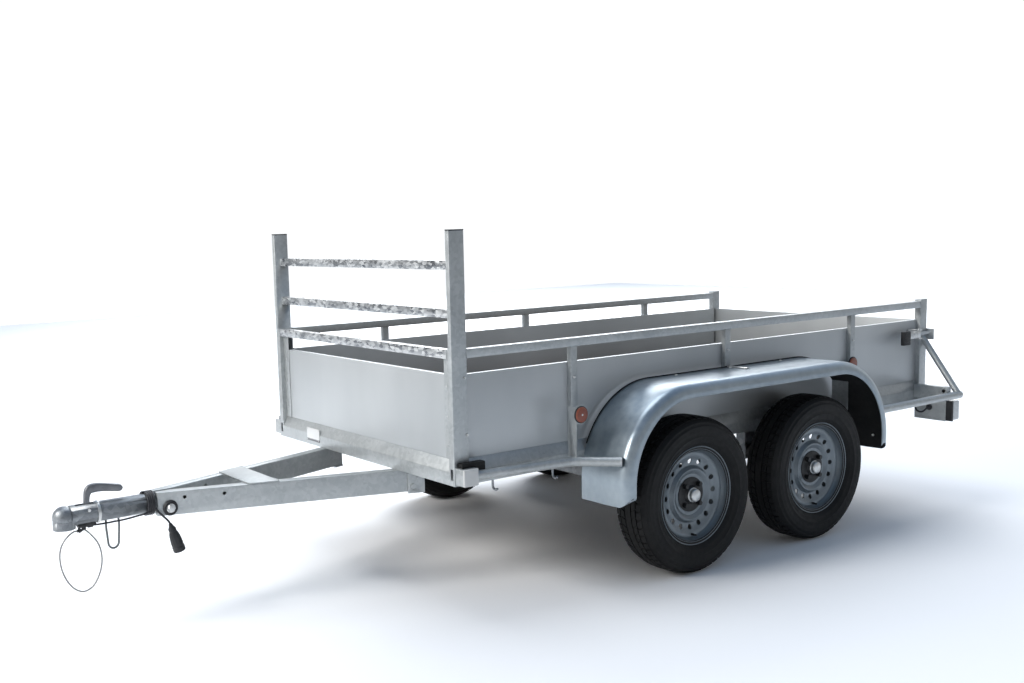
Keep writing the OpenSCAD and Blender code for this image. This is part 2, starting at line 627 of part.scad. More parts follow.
drum_r = 100;
dust_cap_r = 25;
module hub(x) difference() {
    face = disc_face;
    back = hub_in - wheel_y;
    union() {
        turned([x, wheel_y, wheel_r]) polygon([
            [0, back], [drum_r, back], [drum_r, back + 52], [62, back + 56], [36, back + 60], [36, face - 12],
            [64, face - 12], [64, face], [dust_cap_r, face], [dust_cap_r, face + 24],
            [dust_cap_r - 6, face + 32], [0, face + 34]
        ]);
        for (i = [0:3]) {
            a = 90 * i + 45;
            along_y([x + bolt_pcd / 2 * cos(a), wheel_y + face - 1, wheel_r + bolt_pcd / 2 * sin(a)], 6, 10);
            translate([x + bolt_pcd / 2 * cos(a), wheel_y + face + 4, wheel_r + bolt_pcd / 2 * sin(a)])
                rotate([-90, 0, 0]) cylinder(r = 10, h = 14, $fn = 6);
        }
    }
    along_y([x, hub_in - 1, wheel_r], spindle_r + run, hub_face - 12 - hub_in);
}
module hub_front_left() color("silver") on_frame() hub(axle_x[0]);
module hub_rear_left() color("silver") on_frame() hub(axle_x[1]);
module hub_front_right() color("silver") on_frame() mirror([0, 1, 0]) hub(axle_x[0]);
module hub_rear_right() color("silver") on_frame() mirror([0, 1, 0]) hub(axle_x[1]);

// ---------------------------------------------------------------- tailgate
hinge_x = gate_x - 8;
hinge_z = sill_top + 9;
hinge_r = 7;
hinge_pin_r = 4;
hinge_y = [-(half_w - 225), 0, half_w - 225];
knuckle = 40;
ear_t = 8;
gate_half = half_w - post_w - 3;
gate_z = sill_top + 3;
strap_z = 730;                    // latch strap on the tailgate's ends
strap_h = 16;
strap_t = 4;
strap_y = half_w + 5;
strap_end = rear_post_x + 26;
module tailgate() color(sheet) on_frame() {
    difference() {
        union() {
            tube_box([gate_x, -gate_half, gate_z], [board_d, 2 * gate_half, board_h - 3], 1, board_t);
            for (y = hinge_y) {
                along_y([hinge_x, y - knuckle / 2, hinge_z], hinge_r, knuckle);
                translate([hinge_x, y - knuckle / 2, hinge_z]) cube([gate_x - hinge_x, knuckle, 24]);
            }
        }
        for (y = hinge_y) along_y([hinge_x, y - knuckle, hinge_z], hinge_pin_r + run, 2 * knuckle);
    }
    both_sides() {
        back = -body_l - gap - strap_t;
        translate([back, gate_half - strap_t, strap_z - 24]) cube([gate_x - back, strap_t, 50]);
        translate([back, gate_half - strap_t, strap_z - 24])
            cube([strap_t, strap_y + strap_t + 30 - gate_half, 50]);
        translate([back, strap_y, strap_z]) cube([strap_end - back, strap_t, strap_h]);
    }
}
module hinge_pins() color("silver") on_frame() for (y = hinge_y) {
    along_y([hinge_x, y - knuckle / 2 - ear_t - 2, hinge_z], hinge_pin_r, knuckle + 2 * ear_t + 4);
    for (s = [-1, 1]) difference() {
        ear_y = y + s * (knuckle / 2 + gap + ear_t / 2) - ear_t / 2;
        union() {
            along_y([hinge_x, ear_y, hinge_z], hinge_r, ear_t);
            translate([hinge_x - hinge_r, ear_y, hinge_z - 60]) cube([2 * hinge_r, ear_t, 60]);
        }
        run_y(y - knuckle, 2 * knuckle) translate([-body_l, sill_z])
            polygon([[0, -20], [0, sill_web], [board_inset, sill_h], [40, sill_h], [40, -20]]);
    }
}

// ---------------------------------------------------------------- latches
latch_x = rear_post_x + 45;
latch_y = half_w + 21;
latch_z = strap_z + strap_h / 2;
latch_h = 32;
latch_pin = 4;
lever_l = 80;
module latch_bases() color(zinc) on_frame() both_sides() {
    translate([latch_x - 30, board_y, latch_z - latch_h / 2 - 6]) cube([56, 5, latch_h + 12]);
    for (z = [latch_z - latch_h / 2 - 6, latch_z + latch_h / 2 + gap]) difference() {
        translate([latch_x - 12, board_y, z]) cube([24, latch_y + 10 - board_y, 6 - gap]);
        translate([latch_x, latch_y, z - 1]) cylinder(r = latch_pin + run, h = 8, $fn = 32);
    }
}
module latch() {
    translate([latch_x, latch_y, latch_z - latch_h / 2]) cylinder(r = 8, h = latch_h, $fn = 48);
    translate([latch_x, latch_y, latch_z - latch_h / 2 - 8]) cylinder(r = latch_pin, h = latch_h + 16, $fn = 32);
    translate([latch_x, latch_y - 3, latch_z - latch_h / 2]) cube([lever_l, 10, latch_h]);
    translate([latch_x + lever_l - 2, latch_y - 8, latch_z - 43]) cube([50, 20, 62]);
}
module latch_left() color(black) on_frame() latch();
module latch_right() color(black) on_frame() mirror([0, 1, 0]) latch();

// ---------------------------------------------------------------- lamps
arm_tube_z = sill_z + 14;
arm_tube_h = 60;
arm_tube_d = 30;
brace_r = 14;
brace_top = [half_w, 712];
brace_low = [lamp_stay_y, stay_z + 10];
plate_z = 348;
plate_in = half_w - 12;
plate_out = half_w + lamp_out - 20;
grommet_y = half_w + 62;
grommet_z = plate_z + 57;
module lamp_brackets() color(zinc) on_frame() both_sides() {
    d = brace_low - brace_top;
    difference() {
        union() {
            tube_box([lamp_front, half_w, arm_tube_z], [arm_tube_d, lamp_out, arm_tube_h], 1, 3);
            translate([lamp_front, half_w + lamp_out - 4, arm_tube_z]) cube([arm_tube_d, 4, arm_tube_h]);
            translate([lamp_front, half_w, plate_z]) cube([3, plate_out - half_w, arm_tube_z + 6 - plate_z]);
            translate([lamp_front, plate_in, plate_z]) cube([3, 14, sill_z - plate_z]);
        }
        along_x([brace_x - 20, lamp_stay_y, stay_z], stay_r, 100);
        along_x([lamp_front + arm_tube_d - 4, half_w + lamp_out - 16, arm_tube_z + 42], 8, 5);
        along_x([lamp_front - 1, grommet_y, grommet_z], 7, 6);
    }
    difference() {
        translate([brace_x, brace_top[0], brace_top[1]]) rotate([atan2(-d[0], d[1]), 0, 0])
            translate([0, 0, -30]) cylinder(r = brace_r, h = norm(d) + 30, $fn = 48);
        translate([brace_x - 40, half_w - 100, 600]) cube([80, 100, 300]);
        along_x([brace_x - 20, lamp_stay_y, stay_z], stay_r, 100);
    }
}
lamp_w = 166;
lamp_h = 92;
base_t = 14;
lamp_y = half_w + 2;
module tail_lamps() color(black) on_frame() both_sides() difference() {
    translate([lamp_front - base_t, lamp_y, plate_z + 2]) cube([base_t, lamp_w, lamp_h]);
    along_x([lamp_front - base_t - 1, grommet_y, grommet_z], 7, 30);
}
module lamp_lenses() color(red) on_frame() both_sides()
    translate([lens_rear, lamp_y + 3, plate_z + 5]) cube([lamp_t - base_t, lamp_w - 6, lamp_h - 6]);
// Lamp cable, measured from the front of its grommet
lamp_route = [
    [0, 0, 0], [8, 0, 0], [15, -3, -5], [19, -10, -14], [20, -20, -21], [20, -32, -23],
    [20, -44, -19], [20, -53, -9], [20, -57, 5], [20, -58, 28]
];
module lamp_cables() color(black) on_frame() both_sides() {
    along_x([lamp_front - base_t, grommet_y, grommet_z], 7, base_t + 5);
    along_x([lamp_front + 3, grommet_y, grommet_z], 12, 4);
    translate([lamp_front + 7, grommet_y, grommet_z]) swept(lamp_route, 4, 8, [0, 1, 1]);
}
module id_plate() color("gainsboro") on_frame()
    translate([0, -388, sill_z + 16]) cube([1.5, 102, 52]);

// ---------------------------------------------------------------- drawing
side_sills();
front_sill();
rear_sill();
cross_members();
floor_panel();
side_boards();
front_board();
front_channels();
ladder_posts();
post_caps();
ladder_bars();
side_rails();
rail_posts();
rear_posts();
drawbar_beams();
drawbar_gusset();
drawbar_clamps();
coupling_body();
coupling_bolts();
coupling_handle();
coupling_jaw();
safety_bail();
cable_bracket();
breakaway_cable();
plug_cord();
plug();
cable_bundle();
corner_stubs();
stay_tubes();
rope_hooks();
fender_left();
fender_right();
side_reflectors();
axle_beams();
arm_front_left();
arm_front_right();
arm_rear_left();
arm_rear_right();
tyre_front_left();
tyre_front_right();
tyre_rear_left();
tyre_rear_right();
rim_front_left();
rim_front_right();
rim_rear_left();
rim_rear_right();
hub_front_left();
hub_front_right();
hub_rear_left();
hub_rear_right();
tailgate();
hinge_pins();
latch_bases();
latch_left();
latch_right();
lamp_brackets();
tail_lamps();
lamp_lenses();
lamp_cables();
id_plate();
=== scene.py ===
# Tandem-axle box trailer: open bed with low boards, a ladder rack over the
# front board, a V drawbar with a ball coupling, and four sprung wheels.
# Everything is in metres: +X forward, +Y to the left side, +Z up.
import math

import bmesh
import bpy
import numpy as np
from mathutils import Matrix, Vector


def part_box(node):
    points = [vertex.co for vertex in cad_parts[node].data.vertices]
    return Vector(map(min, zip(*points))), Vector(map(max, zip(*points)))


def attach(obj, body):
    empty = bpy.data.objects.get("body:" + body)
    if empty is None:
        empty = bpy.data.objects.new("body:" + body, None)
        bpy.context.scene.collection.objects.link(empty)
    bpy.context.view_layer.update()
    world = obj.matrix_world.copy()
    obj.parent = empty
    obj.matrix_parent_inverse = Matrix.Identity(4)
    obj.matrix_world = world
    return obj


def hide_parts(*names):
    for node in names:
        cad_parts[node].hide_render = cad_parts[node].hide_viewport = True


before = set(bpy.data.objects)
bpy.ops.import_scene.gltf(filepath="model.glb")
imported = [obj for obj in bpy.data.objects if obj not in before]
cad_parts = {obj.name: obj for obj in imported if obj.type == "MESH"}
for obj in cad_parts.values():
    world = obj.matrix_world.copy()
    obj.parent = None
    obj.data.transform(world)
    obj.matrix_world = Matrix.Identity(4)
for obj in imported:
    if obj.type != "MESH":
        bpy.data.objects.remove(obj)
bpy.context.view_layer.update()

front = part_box("ladder_posts")[1].x      # station of the ladder posts' front faces
ROOT = "trailer_frame"

# ------------------------------------------------------------------ the viewer
# Stands off the left front corner, a little above the boards. The picture is
# framed off-centre, so the lens is shifted.
camera = bpy.data.objects.new("viewer", bpy.data.cameras.new("viewer"))
camera.data.sensor_width = 36
camera.data.lens = 38.904
camera.data.shift_x = 0.07856
camera.data.shift_y = 0.0259
camera.data.clip_end = 60
sight = Matrix((
    (-0.82313442, -0.09432793, 0.55995712),
    (0.56711717, -0.08659445, 0.81907235),
    (-0.02877222, 0.99176794, 0.12477386)))
camera.matrix_world = Matrix.Translation((2.8367, 3.5143, 1.2744)) @ sight.to_4x4()
bpy.context.scene.collection.objects.link(camera)
bpy.context.scene.camera = camera


# ------------------------------------------------------------------ finishes
# Every finish is one shader with a few nodes round it. Value makes sums of
# sockets; Finish adds nodes and sets the shader.
class Value:
    """A number on a socket: sums and products of it add Math nodes."""

    def __init__(self, finish, socket):
        self.finish = finish
        self.socket = socket

    def _math(self, operation, first, second):
        return self.finish.node("ShaderNodeMath", {"operation": operation}, {0: first, 1: second})

    def __add__(self, other):
        return self._math("ADD", self, other)

    def __sub__(self, other):
        return self._math("SUBTRACT", self, other)

    def __rsub__(self, other):
        return self._math("SUBTRACT", other, self)

    def __mul__(self, other):
        return self._math("MULTIPLY", self, other)

    __radd__ = __add__
    __rmul__ = __mul__


class Finish:
    """A material: one Principled shader and the nodes that feed it."""

    def __init__(self, name, **constants):
        self.material = bpy.data.materials.new(name)
        self.material.use_nodes = True
        self.tree = self.material.node_tree
        self.shader = self.tree.nodes["Principled BSDF"]
        self.feed(**constants)

    def join(self, socket, value):
        if isinstance(value, Value):
            self.tree.links.new(value.socket, socket)
        else:
            socket.default_value = value

    def node(self, kind, settings=None, sockets=None, output=0):
        made = self.tree.nodes.new(kind)
        for name, value in (settings or {}).items():
            if name == "stops":
                ramp = made.color_ramp
                while len(ramp.elements) < len(value):
                    ramp.elements.new(0.5)
                for element, (place, colour) in zip(ramp.elements, value):
                    element.position = place
                    element.color = (*colour, 1)
            else:
                setattr(made, name, value)
        for name, value in (sockets or {}).items():
            self.join(made.inputs[name], value)
        return Value(self, made.outputs[output])

    def feed(self, **values):
        for name, value in values.items():
            if name == "Base_Color" and not isinstance(value, Value):
                value = (*value, 1)
            self.join(self.shader.inputs[name.replace("_", " ")], value)

    def place(self, scale=(1, 1, 1), turn=(0, 0, 0)):
        here = self.node("ShaderNodeTexCoord", output=3)
        return self.node("ShaderNodeMapping", None, {"Vector": here, "Scale": scale, "Rotation": turn})

    def noise(self, scale, detail=3, where=None, rough=0.5):
        return self.node("ShaderNodeTexNoise", None, {
            "Vector": where or self.place(), "Scale": scale, "Detail": detail, "Roughness": rough})

    def between(self, amount, first, second):
        return self.node("ShaderNodeMix", {"data_type": "RGBA"}, {
            0: amount, 6: (*first, 1) if isinstance(first, tuple) else first,
            7: (*second, 1) if isinstance(second, tuple) else second}, 2)

    def ramp(self, amount, low, high):
        """amount, stretched so that low becomes 0 and high becomes 1."""
        return self.node("ShaderNodeMapRange", None, {
            "Value": amount, "From Min": low, "From Max": high, "To Min": 0.0, "To Max": 1.0})

    def bump(self, height, depth, strength=1.0):
        self.feed(Normal=self.node("ShaderNodeBump", None, {
            "Height": height, "Distance": depth, "Strength": strength}))


# ------------------------------------------------------------------ the studio
# A plain pale floor under soft light: a broad lamp ahead of the trailer, a
# weaker one above it, one over the floor behind it, and a pale sky that is
# brighter to the rear right.
scene = bpy.context.scene
scene.view_settings.view_transform = "Standard"
world = bpy.data.worlds.new("studio")
world.use_nodes = True
sky = world.node_tree


def sky_node(kind, settings, sockets, output=0):
    made = sky.nodes.new(kind)
    for name, value in settings.items():
        setattr(made, name, value)
    for name, value in sockets.items():
        if isinstance(value, bpy.types.NodeSocket):
            sky.links.new(value, made.inputs[name])
        else:
            made.inputs[name].default_value = value
    return made.outputs[output]


direction = sky_node("ShaderNodeTexCoord", {}, {}, "Generated")
toward = sky_node("ShaderNodeVectorMath", {"operation": "DOT_PRODUCT"}, {
    0: direction, 1: (-0.63, -0.77, 0.0)}, "Value")
brightness = sky_node("ShaderNodeMapRange", {"interpolation_type": "SMOOTHSTEP"}, {
    "Value": toward, "From Min": 0.1, "From Max": 0.75, "To Min": 0.40, "To Max": 1.05})
height = sky_node("ShaderNodeMapRange", {"interpolation_type": "SMOOTHSTEP"}, {
    "Value": sky_node("ShaderNodeSeparateXYZ", {}, {0: direction}, "Z"),
    "From Min": 0.30, "From Max": 0.85})
shade = sky_node("ShaderNodeMix", {"data_type": "RGBA"}, {
    "Factor": height, 6: (0.97, 0.985, 1.0, 1), 7: (0.40, 0.62, 0.95, 1)}, 2)
sky.links.new(shade, sky.nodes["Background"].inputs["Color"])
sky.links.new(brightness, sky.nodes["Background"].inputs["Strength"])
scene.world = world


def soft_light(name, place, target, size, power, colour):
    lamp = bpy.data.objects.new(name, bpy.data.lights.new(name, "AREA"))
    lamp.data.shape = "DISK"
    lamp.data.size = size
    lamp.data.energy = power
    lamp.data.color = colour
    lamp.location = place
    lamp.rotation_euler = (Vector(target) - Vector(place)).to_track_quat("-Z", "Y").to_euler()
    scene.collection.objects.link(lamp)


soft_light("light_ahead", (6.5, -0.6, 4.2), (0.4, 0, 0.6), 2.6, 430, (1.0, 0.98, 0.95))
soft_light("light_above", (0.0, -1.5, 6.0), (0, 0, 0.5), 4.0, 150, (0.96, 0.98, 1.0))
soft_light("light_behind", (-7.0, -7.5, 6.0), (-7.0, -7.5, 0), 9.0, 1500, (0.98, 0.99, 1.0))

floor_half = 14
floor = bpy.data.objects.new("studio_floor", bpy.data.meshes.new("studio_floor"))
floor.data.from_pydata([(x, y, 0) for x, y in (
    (-floor_half, -floor_half), (floor_half, -floor_half), (floor_half, floor_half),
    (-floor_half, floor_half))], [], [(0, 1, 2, 3)])
pale_floor = Finish("pale_floor", Roughness=0.85)
pale_floor.feed(Base_Color=pale_floor.between(
    pale_floor.noise(0.6), (0.90, 0.905, 0.91), (0.93, 0.93, 0.93)))
floor.data.materials.append(pale_floor.material)
scene.collection.objects.link(floor)


# ------------------------------------------------------------------ piece making
# Each piece is one mesh at the origin that rides on a body and takes the finish it is
# given. Most tubes and plates are the frame's own, with the long
# edges rounded as a rolled or folded edge is.
def piece(name, shape, finish, body, slot, *nodes, sharp=35):
    if isinstance(shape, bmesh.types.BMesh):
        mesh = bpy.data.meshes.new(name)
        shape.normal_update()
        shape.to_mesh(mesh)
        shape.free()
    else:
        mesh = shape
    mesh.name = name
    mesh.shade_smooth()
    mesh.set_sharp_from_angle(angle=math.radians(sharp))
    mesh.materials.clear()
    mesh.materials.append(finish.material)
    made = bpy.data.objects.new(name, mesh)
    scene.collection.objects.link(made)
    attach(made, body)
    if nodes:
        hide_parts(*nodes)
    return made


def tube_along(points, radius, sides=16, lobes=0, twist=0.0, ups=(0, 1, 0)):
    """A closed tube along points; lobes and twist make it a laid rope."""
    bm = bmesh.new()
    path = [Vector(p) for p in points]
    rings = []
    turned = 0.0
    for i, here in enumerate(path):
        ahead = path[min(i + 1, len(path) - 1)] - path[max(i - 1, 0)]
        ahead.normalize()
        across = Vector(ups).cross(ahead).normalized()
        up = ahead.cross(across)
        if i:
            turned += (here - path[i - 1]).length * twist
        ring = []
        for k in range(sides):
            a = 2 * math.pi * k / sides
            size = radius * (1 - 0.16 * (1 - abs(math.cos(lobes * a / 2)))) if lobes else radius
            ring.append(bm.verts.new(here + size * (
                math.cos(a + turned) * across + math.sin(a + turned) * up)))
        rings.append(ring)
    for low, high in zip(rings, rings[1:]):
        for k in range(sides):
            n = (k + 1) % sides
            bm.faces.new((low[k], low[n], high[n], high[k]))
    bm.faces.new(reversed(rings[0]))
    bm.faces.new(rings[-1])
    bmesh.ops.recalc_face_normals(bm, faces=bm.faces)
    return bm


def smooth_path(points, per_span):
    """Points of a smooth curve through the given points."""
    p = [Vector(q) for q in points]
    p = [2 * p[0] - p[1]] + p + [2 * p[-1] - p[-2]]
    made = []
    for i in range(1, len(p) - 2):
        for k in range(per_span):
            t = k / per_span
            made.append(0.5 * (2 * p[i] + (p[i + 1] - p[i - 1]) * t
                + (2 * p[i - 1] - 5 * p[i] + 4 * p[i + 1] - p[i + 2]) * t * t
                + (3 * p[i] - p[i - 1] - 3 * p[i + 1] + p[i + 2]) * t ** 3))
    return made + [p[-2]]


# ------------------------------------------------------------------ breakaway cable
# A loop of 5.5 mm wire rope that pulls the brake on if the coupling lets go. Its
# ends are pressed into one sleeve in the eye under the coupling.
eye = Vector((front + 1.042, 0, 0.347))
loop_route = [
    (8, 0, -4), (18, 0, -4), (34, 0, -13), (50, 0, -28), (61, 0, -46), (67, 0, -68), (68, 0, -92),
    (65, 0, -117), (58, 0, -142), (47, 0, -166), (33, 0, -186), (16, 0, -200), (-2, 0, -206),
    (-20, 0, -202), (-36, 0, -190), (-49, 0, -171), (-59, 0, -148), (-65, 0, -122), (-66, 0, -96),
    (-62, 0, -71), (-53, 0, -48), (-40, 0, -29), (-28, 0, -14), (-17, 0, -4), (-8, 0, -4)]
rope_points = smooth_path([eye + Vector(p) / 1000 for p in loop_route], 10)
wire = Finish("galvanised_wire_rope", Metallic=0.7, Roughness=0.42)
wire.feed(Base_Color=wire.between(wire.noise(900, 2), (0.15, 0.15, 0.15), (0.40, 0.39, 0.38)))
wire.bump(wire.noise(2500, 1), 0.0002)
rope = piece("breakaway_rope", tube_along(rope_points, 0.00275, 18, lobes=6, twist=210.0), wire,
             ROOT, "wire_rope", "breakaway_cable", sharp=80)

# ------------------------------------------------------------------ lighting cord
# A short black lead that drops from the coil on the coupling's tube to the
# plug for the towing car. Cable and plug are black rubber and plastic.
cord_exit = Vector((front + 0.799, 0.038, 0.385))
drop_route = [(0, 0, 0), (-3, 5, -8), (-8, 9, -16), (-15, 12, -24), (-23, 13, -33),
              (-31, 13, -42), (-38, 12, -51), (-43, 11, -61)]
drop_points = smooth_path([cord_exit + Vector(p) / 1000 for p in drop_route], 4)
sheath = Finish("black_cable_sheath", Roughness=0.5, Specular_IOR_Level=0.4)
sheath.feed(Base_Color=sheath.between(sheath.noise(60), (0.012, 0.012, 0.014), (0.035, 0.035, 0.04)),
            Roughness=0.42 + 0.2 * sheath.noise(150))
sheath.bump(sheath.noise(700, 2), 0.0003, 0.5)
drop = piece("plug_lead", tube_along(drop_points, 0.0035, 20), sheath, ROOT, "cable_sheath", "plug_cord")

black_plastic = Finish("black_moulded_plastic", Specular_IOR_Level=0.4)
black_plastic.feed(
    Base_Color=black_plastic.between(black_plastic.noise(25), (0.010, 0.011, 0.012), (0.032, 0.032, 0.034)),
    Roughness=0.40 + 0.25 * black_plastic.noise(90))
black_plastic.bump(black_plastic.noise(1200, 2), 0.00025, 0.6)


def lathe(profile, steps=64, closed=True):
    """Turns (radius, height) points about +Z. A closed profile is a ring."""
    bm = bmesh.new()
    rings = []
    for radius, height in profile:
        if radius < 1e-6:
            rings.append([bm.verts.new((0, 0, height))])
        else:
            rings.append([bm.verts.new((radius * math.cos(2 * math.pi * k / steps),
                                        radius * math.sin(2 * math.pi * k / steps), height))
                          for k in range(steps)])
    pairs = list(zip(rings, rings[1:])) + ([(rings[-1], rings[0])] if closed else [])
    for low, high in pairs:
        for k in range(steps):
            n = (k + 1) % steps
            corners = [low[k % len(low)], low[n % len(low)], high[n % len(high)], high[k % len(high)]]
            corners = list(dict.fromkeys(corners))
            if len(corners) > 2:
                bm.faces.new(corners)
    bmesh.ops.recalc_face_normals(bm, faces=bm.faces)
    return bm


def joined(*shapes):
    whole = bmesh.new()
    for shape in shapes:
        mesh = bpy.data.meshes.new("part")
        shape.to_mesh(mesh)
        shape.free()
        whole.from_mesh(mesh)
        bpy.data.meshes.remove(mesh)
    return whole


def moved(bm, *matrices):
    for matrix in matrices:
        bmesh.ops.transform(bm, matrix=matrix, verts=bm.verts)
    return bm


def block(low, high, bevel=0.001, segments=2):
    """A box from corner to corner with its edges rounded."""
    bm = bmesh.new()
    bmesh.ops.create_cube(bm, size=1)
    low, high = Vector(low), Vector(high)
    for v in bm.verts:
        v.co = Vector([low[i] if v.co[i] < 0 else high[i] for i in range(3)])
    if bevel:
        bmesh.ops.bevel(bm, geom=bm.edges[:], offset=bevel, segments=segments, profile=0.5,
                        affect="EDGES", clamp_overlap=True)
    return bm


def side_block(s, low, high, bevel=0.001, segments=2):
    """A block whose y is measured outward on side s (1 left, -1 right)."""
    near, far = sorted((s * low[1], s * high[1]))
    return block((low[0], near, low[2]), (high[0], far, high[2]), bevel, segments)


plug_top = cord_exit + Vector((-0.043, 0.011, -0.061))
plug_shell = lathe([
    (0, 0.004), (0.0045, 0.004), (0.0062, 0.001), (0.0075, -0.006), (0.0105, -0.012), (0.0125, -0.0145),
    (0.0130, -0.018), (0.0130, -0.025), (0.0118, -0.0262), (0.0122, -0.0275), (0.0145, -0.030),
    (0.0165, -0.040), (0.0182, -0.055), (0.0195, -0.070), (0.0198, -0.077), (0.0190, -0.0785),
    (0.0192, -0.080), (0.0208, -0.0815), (0.0208, -0.096), (0.0200, -0.098), (0.0178, -0.098),
    (0.0178, -0.088), (0, -0.088)], 72, closed=False)
for v in plug_shell.verts:
    if -0.074 < v.co.z < -0.034 and int(round(math.atan2(v.co.y, v.co.x) / (2 * math.pi) * 72)) % 6 < 3:
        v.co.xy *= 1.045
pins = [lathe([(0, -0.094), (0.0016, -0.094), (0.0018, -0.087), (0, -0.087)], 12, closed=False)
        for _ in range(7)]
for k, pin in enumerate(pins):
    a = 2 * math.pi * k / 6
    pin_r = 0.0105 if k < 6 else 0       # six on a circle and one in the middle
    moved(pin, Matrix.Translation((pin_r * math.cos(a), pin_r * math.sin(a), 0)))
plug_body = joined(plug_shell, block((-0.003, -0.0225, -0.094), (0.003, -0.0195, -0.078), 0.0006), *pins)
moved(plug_body, Matrix.Rotation(math.radians(16), 4, "Y"), Matrix.Translation(plug_top))
plug = piece("car_plug", plug_body, black_plastic, ROOT, "plastic_black", "plug")

# ------------------------------------------------------------------ underframe
# Folded sills, cross members and small fittings of hot-dip galvanised steel.
# The zinc freezes in flat crystals, so it is mottled and dull in patches.
def zinc_finish(name, dark, light, rough, grain=75.0, metal=0.62, contrast=0.3):
    finish = Finish(name, Metallic=metal)
    here = finish.place()
    warp = finish.node("ShaderNodeVectorMath", {"operation": "MULTIPLY_ADD"}, {
        0: finish.node("ShaderNodeTexNoise", None, {"Vector": here, "Scale": 30.0}, 1),
        1: (0.016, 0.016, 0.016), 2: here})
    crystal = finish.node("ShaderNodeSeparateColor", None, {
        0: finish.node("ShaderNodeTexVoronoi", None, {"Vector": warp, "Scale": grain}, 1)})
    cloud = finish.noise(5.0, 4, here)
    drip = finish.noise(9.0, 3, finish.place((1.0, 1.0, 0.12)))
    tone = finish.ramp(contrast * crystal + 0.8 * cloud + 0.3 * drip, 0.35, 0.75 + contrast)
    finish.feed(Base_Color=finish.between(tone, dark, light),
                Roughness=rough + 0.10 * crystal + 0.12 * cloud - 0.06)
    finish.bump(0.5 * crystal + finish.noise(260.0, 2, here), 0.0003, 0.3)
    return finish


zinc = zinc_finish("galvanised_tube", (0.34, 0.36, 0.365), (0.52, 0.54, 0.54), 0.36, 85.0)
dull_zinc = zinc_finish("weathered_zinc", (0.15, 0.16, 0.175), (0.33, 0.35, 0.36),
                        0.40, 60.0, 0.7, 0.45)
bright_zinc = Finish("zinc_plate", Metallic=0.85)
bright_zinc.feed(
    Base_Color=bright_zinc.between(bright_zinc.noise(70.0, 4), (0.50, 0.51, 0.50), (0.74, 0.74, 0.73)),
    Roughness=0.24 + 0.2 * bright_zinc.noise(180.0))
bright_zinc.bump(bright_zinc.noise(900.0, 2), 0.00015, 0.4)

# The ladder bars show bare spangle: crystals that shine or go dark by turns.
spangle = Finish("spangled_bar", Metallic=0.85)
along = spangle.place((1.0, 0.45, 1.0))
flake = spangle.node("ShaderNodeSeparateColor", None, {
    0: spangle.node("ShaderNodeTexVoronoi", None, {"Vector": along, "Scale": 120.0}, 1)})
patch = spangle.noise(26.0, 4, along)
spangle.feed(Base_Color=spangle.between(spangle.ramp(0.6 * flake + 0.9 * patch, 0.45, 1.0),
                                        (0.22, 0.23, 0.24), (0.62, 0.63, 0.63)),
             Roughness=0.22 + 0.3 * flake)
spangle.bump(flake + spangle.noise(300.0, 2), 0.0004, 0.4)


def rounded(node, radius, shortest=0.02, segments=3):
    """A frame node's own shape with its long outer edges rounded."""
    bm = bmesh.new()
    bm.from_mesh(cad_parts[node].data)
    bmesh.ops.remove_doubles(bm, verts=bm.verts, dist=1e-5)
    bmesh.ops.dissolve_limit(bm, angle_limit=math.radians(0.4), verts=bm.verts, edges=bm.edges)
    edges = [e for e in bm.edges if len(e.link_faces) == 2 and e.calc_length() > shortest
             and e.calc_face_angle_signed(0) > math.radians(25)]
    if radius:
        bmesh.ops.bevel(bm, geom=edges, offset=radius, segments=segments, profile=0.5,
                        affect="EDGES", clamp_overlap=True)
    return bm


for node, radius in (("side_sills", 0.0018), ("front_sill", 0.0018), ("rear_sill", 0.0018)):
    piece("shaped_" + node, rounded(node, radius), zinc, ROOT, "zinc", node)
piece("shaped_cross_members", rounded("cross_members", 0.004), dull_zinc,
      ROOT, "zinc_dull", "cross_members")


class Tree:
    """A geometry-node tree with named inputs, made step by step."""

    def __init__(self, name, **inputs):
        self.group = bpy.data.node_groups.new(name, "GeometryNodeTree")
        sockets = self.group.interface
        sockets.new_socket("Geometry", in_out="INPUT", socket_type="NodeSocketGeometry")
        self.keys = {}
        for label, kind in inputs.items():
            made = sockets.new_socket(label, in_out="INPUT", socket_type="NodeSocket" + kind)
            self.keys[label] = made.identifier
        sockets.new_socket("Geometry", in_out="OUTPUT", socket_type="NodeSocketGeometry")
        self.start = self.group.nodes.new("NodeGroupInput").outputs

    def node(self, kind, settings=None, sockets=None, output=0):
        made = self.group.nodes.new(kind)
        for name, value in (settings or {}).items():
            setattr(made, name, value)
        for name, value in (sockets or {}).items():
            if isinstance(value, bpy.types.NodeSocket):
                self.group.links.new(value, made.inputs[name])
            else:
                made.inputs[name].default_value = value
        return made.outputs[output]

    def end(self, geometry, finish):
        real = self.node("GeometryNodeRealizeInstances", None, {0: geometry})
        done = self.node("GeometryNodeSetMaterial", None, {"Geometry": real, "Material": finish})
        last = self.group.nodes.new("NodeGroupOutput")
        self.group.links.new(done, last.inputs[0])
        return self

    def make(self, mesh, **values):
        """The tree's result on a mesh, as a plain mesh."""
        carrier = bpy.data.objects.new("carrier", mesh)
        scene.collection.objects.link(carrier)
        modifier = carrier.modifiers.new("build", "NODES")
        modifier.node_group = self.group
        for label, value in values.items():
            modifier[self.keys[label]] = value
        graph = bpy.context.evaluated_depsgraph_get()
        made = bpy.data.meshes.new_from_object(carrier.evaluated_get(graph))
        carrier.modifiers.remove(modifier)
        bpy.data.objects.remove(carrier)
        return made


def dots(points):
    mesh = bpy.data.meshes.new("dots")
    mesh.from_pydata([tuple(p) for p in points], [], [])
    return mesh


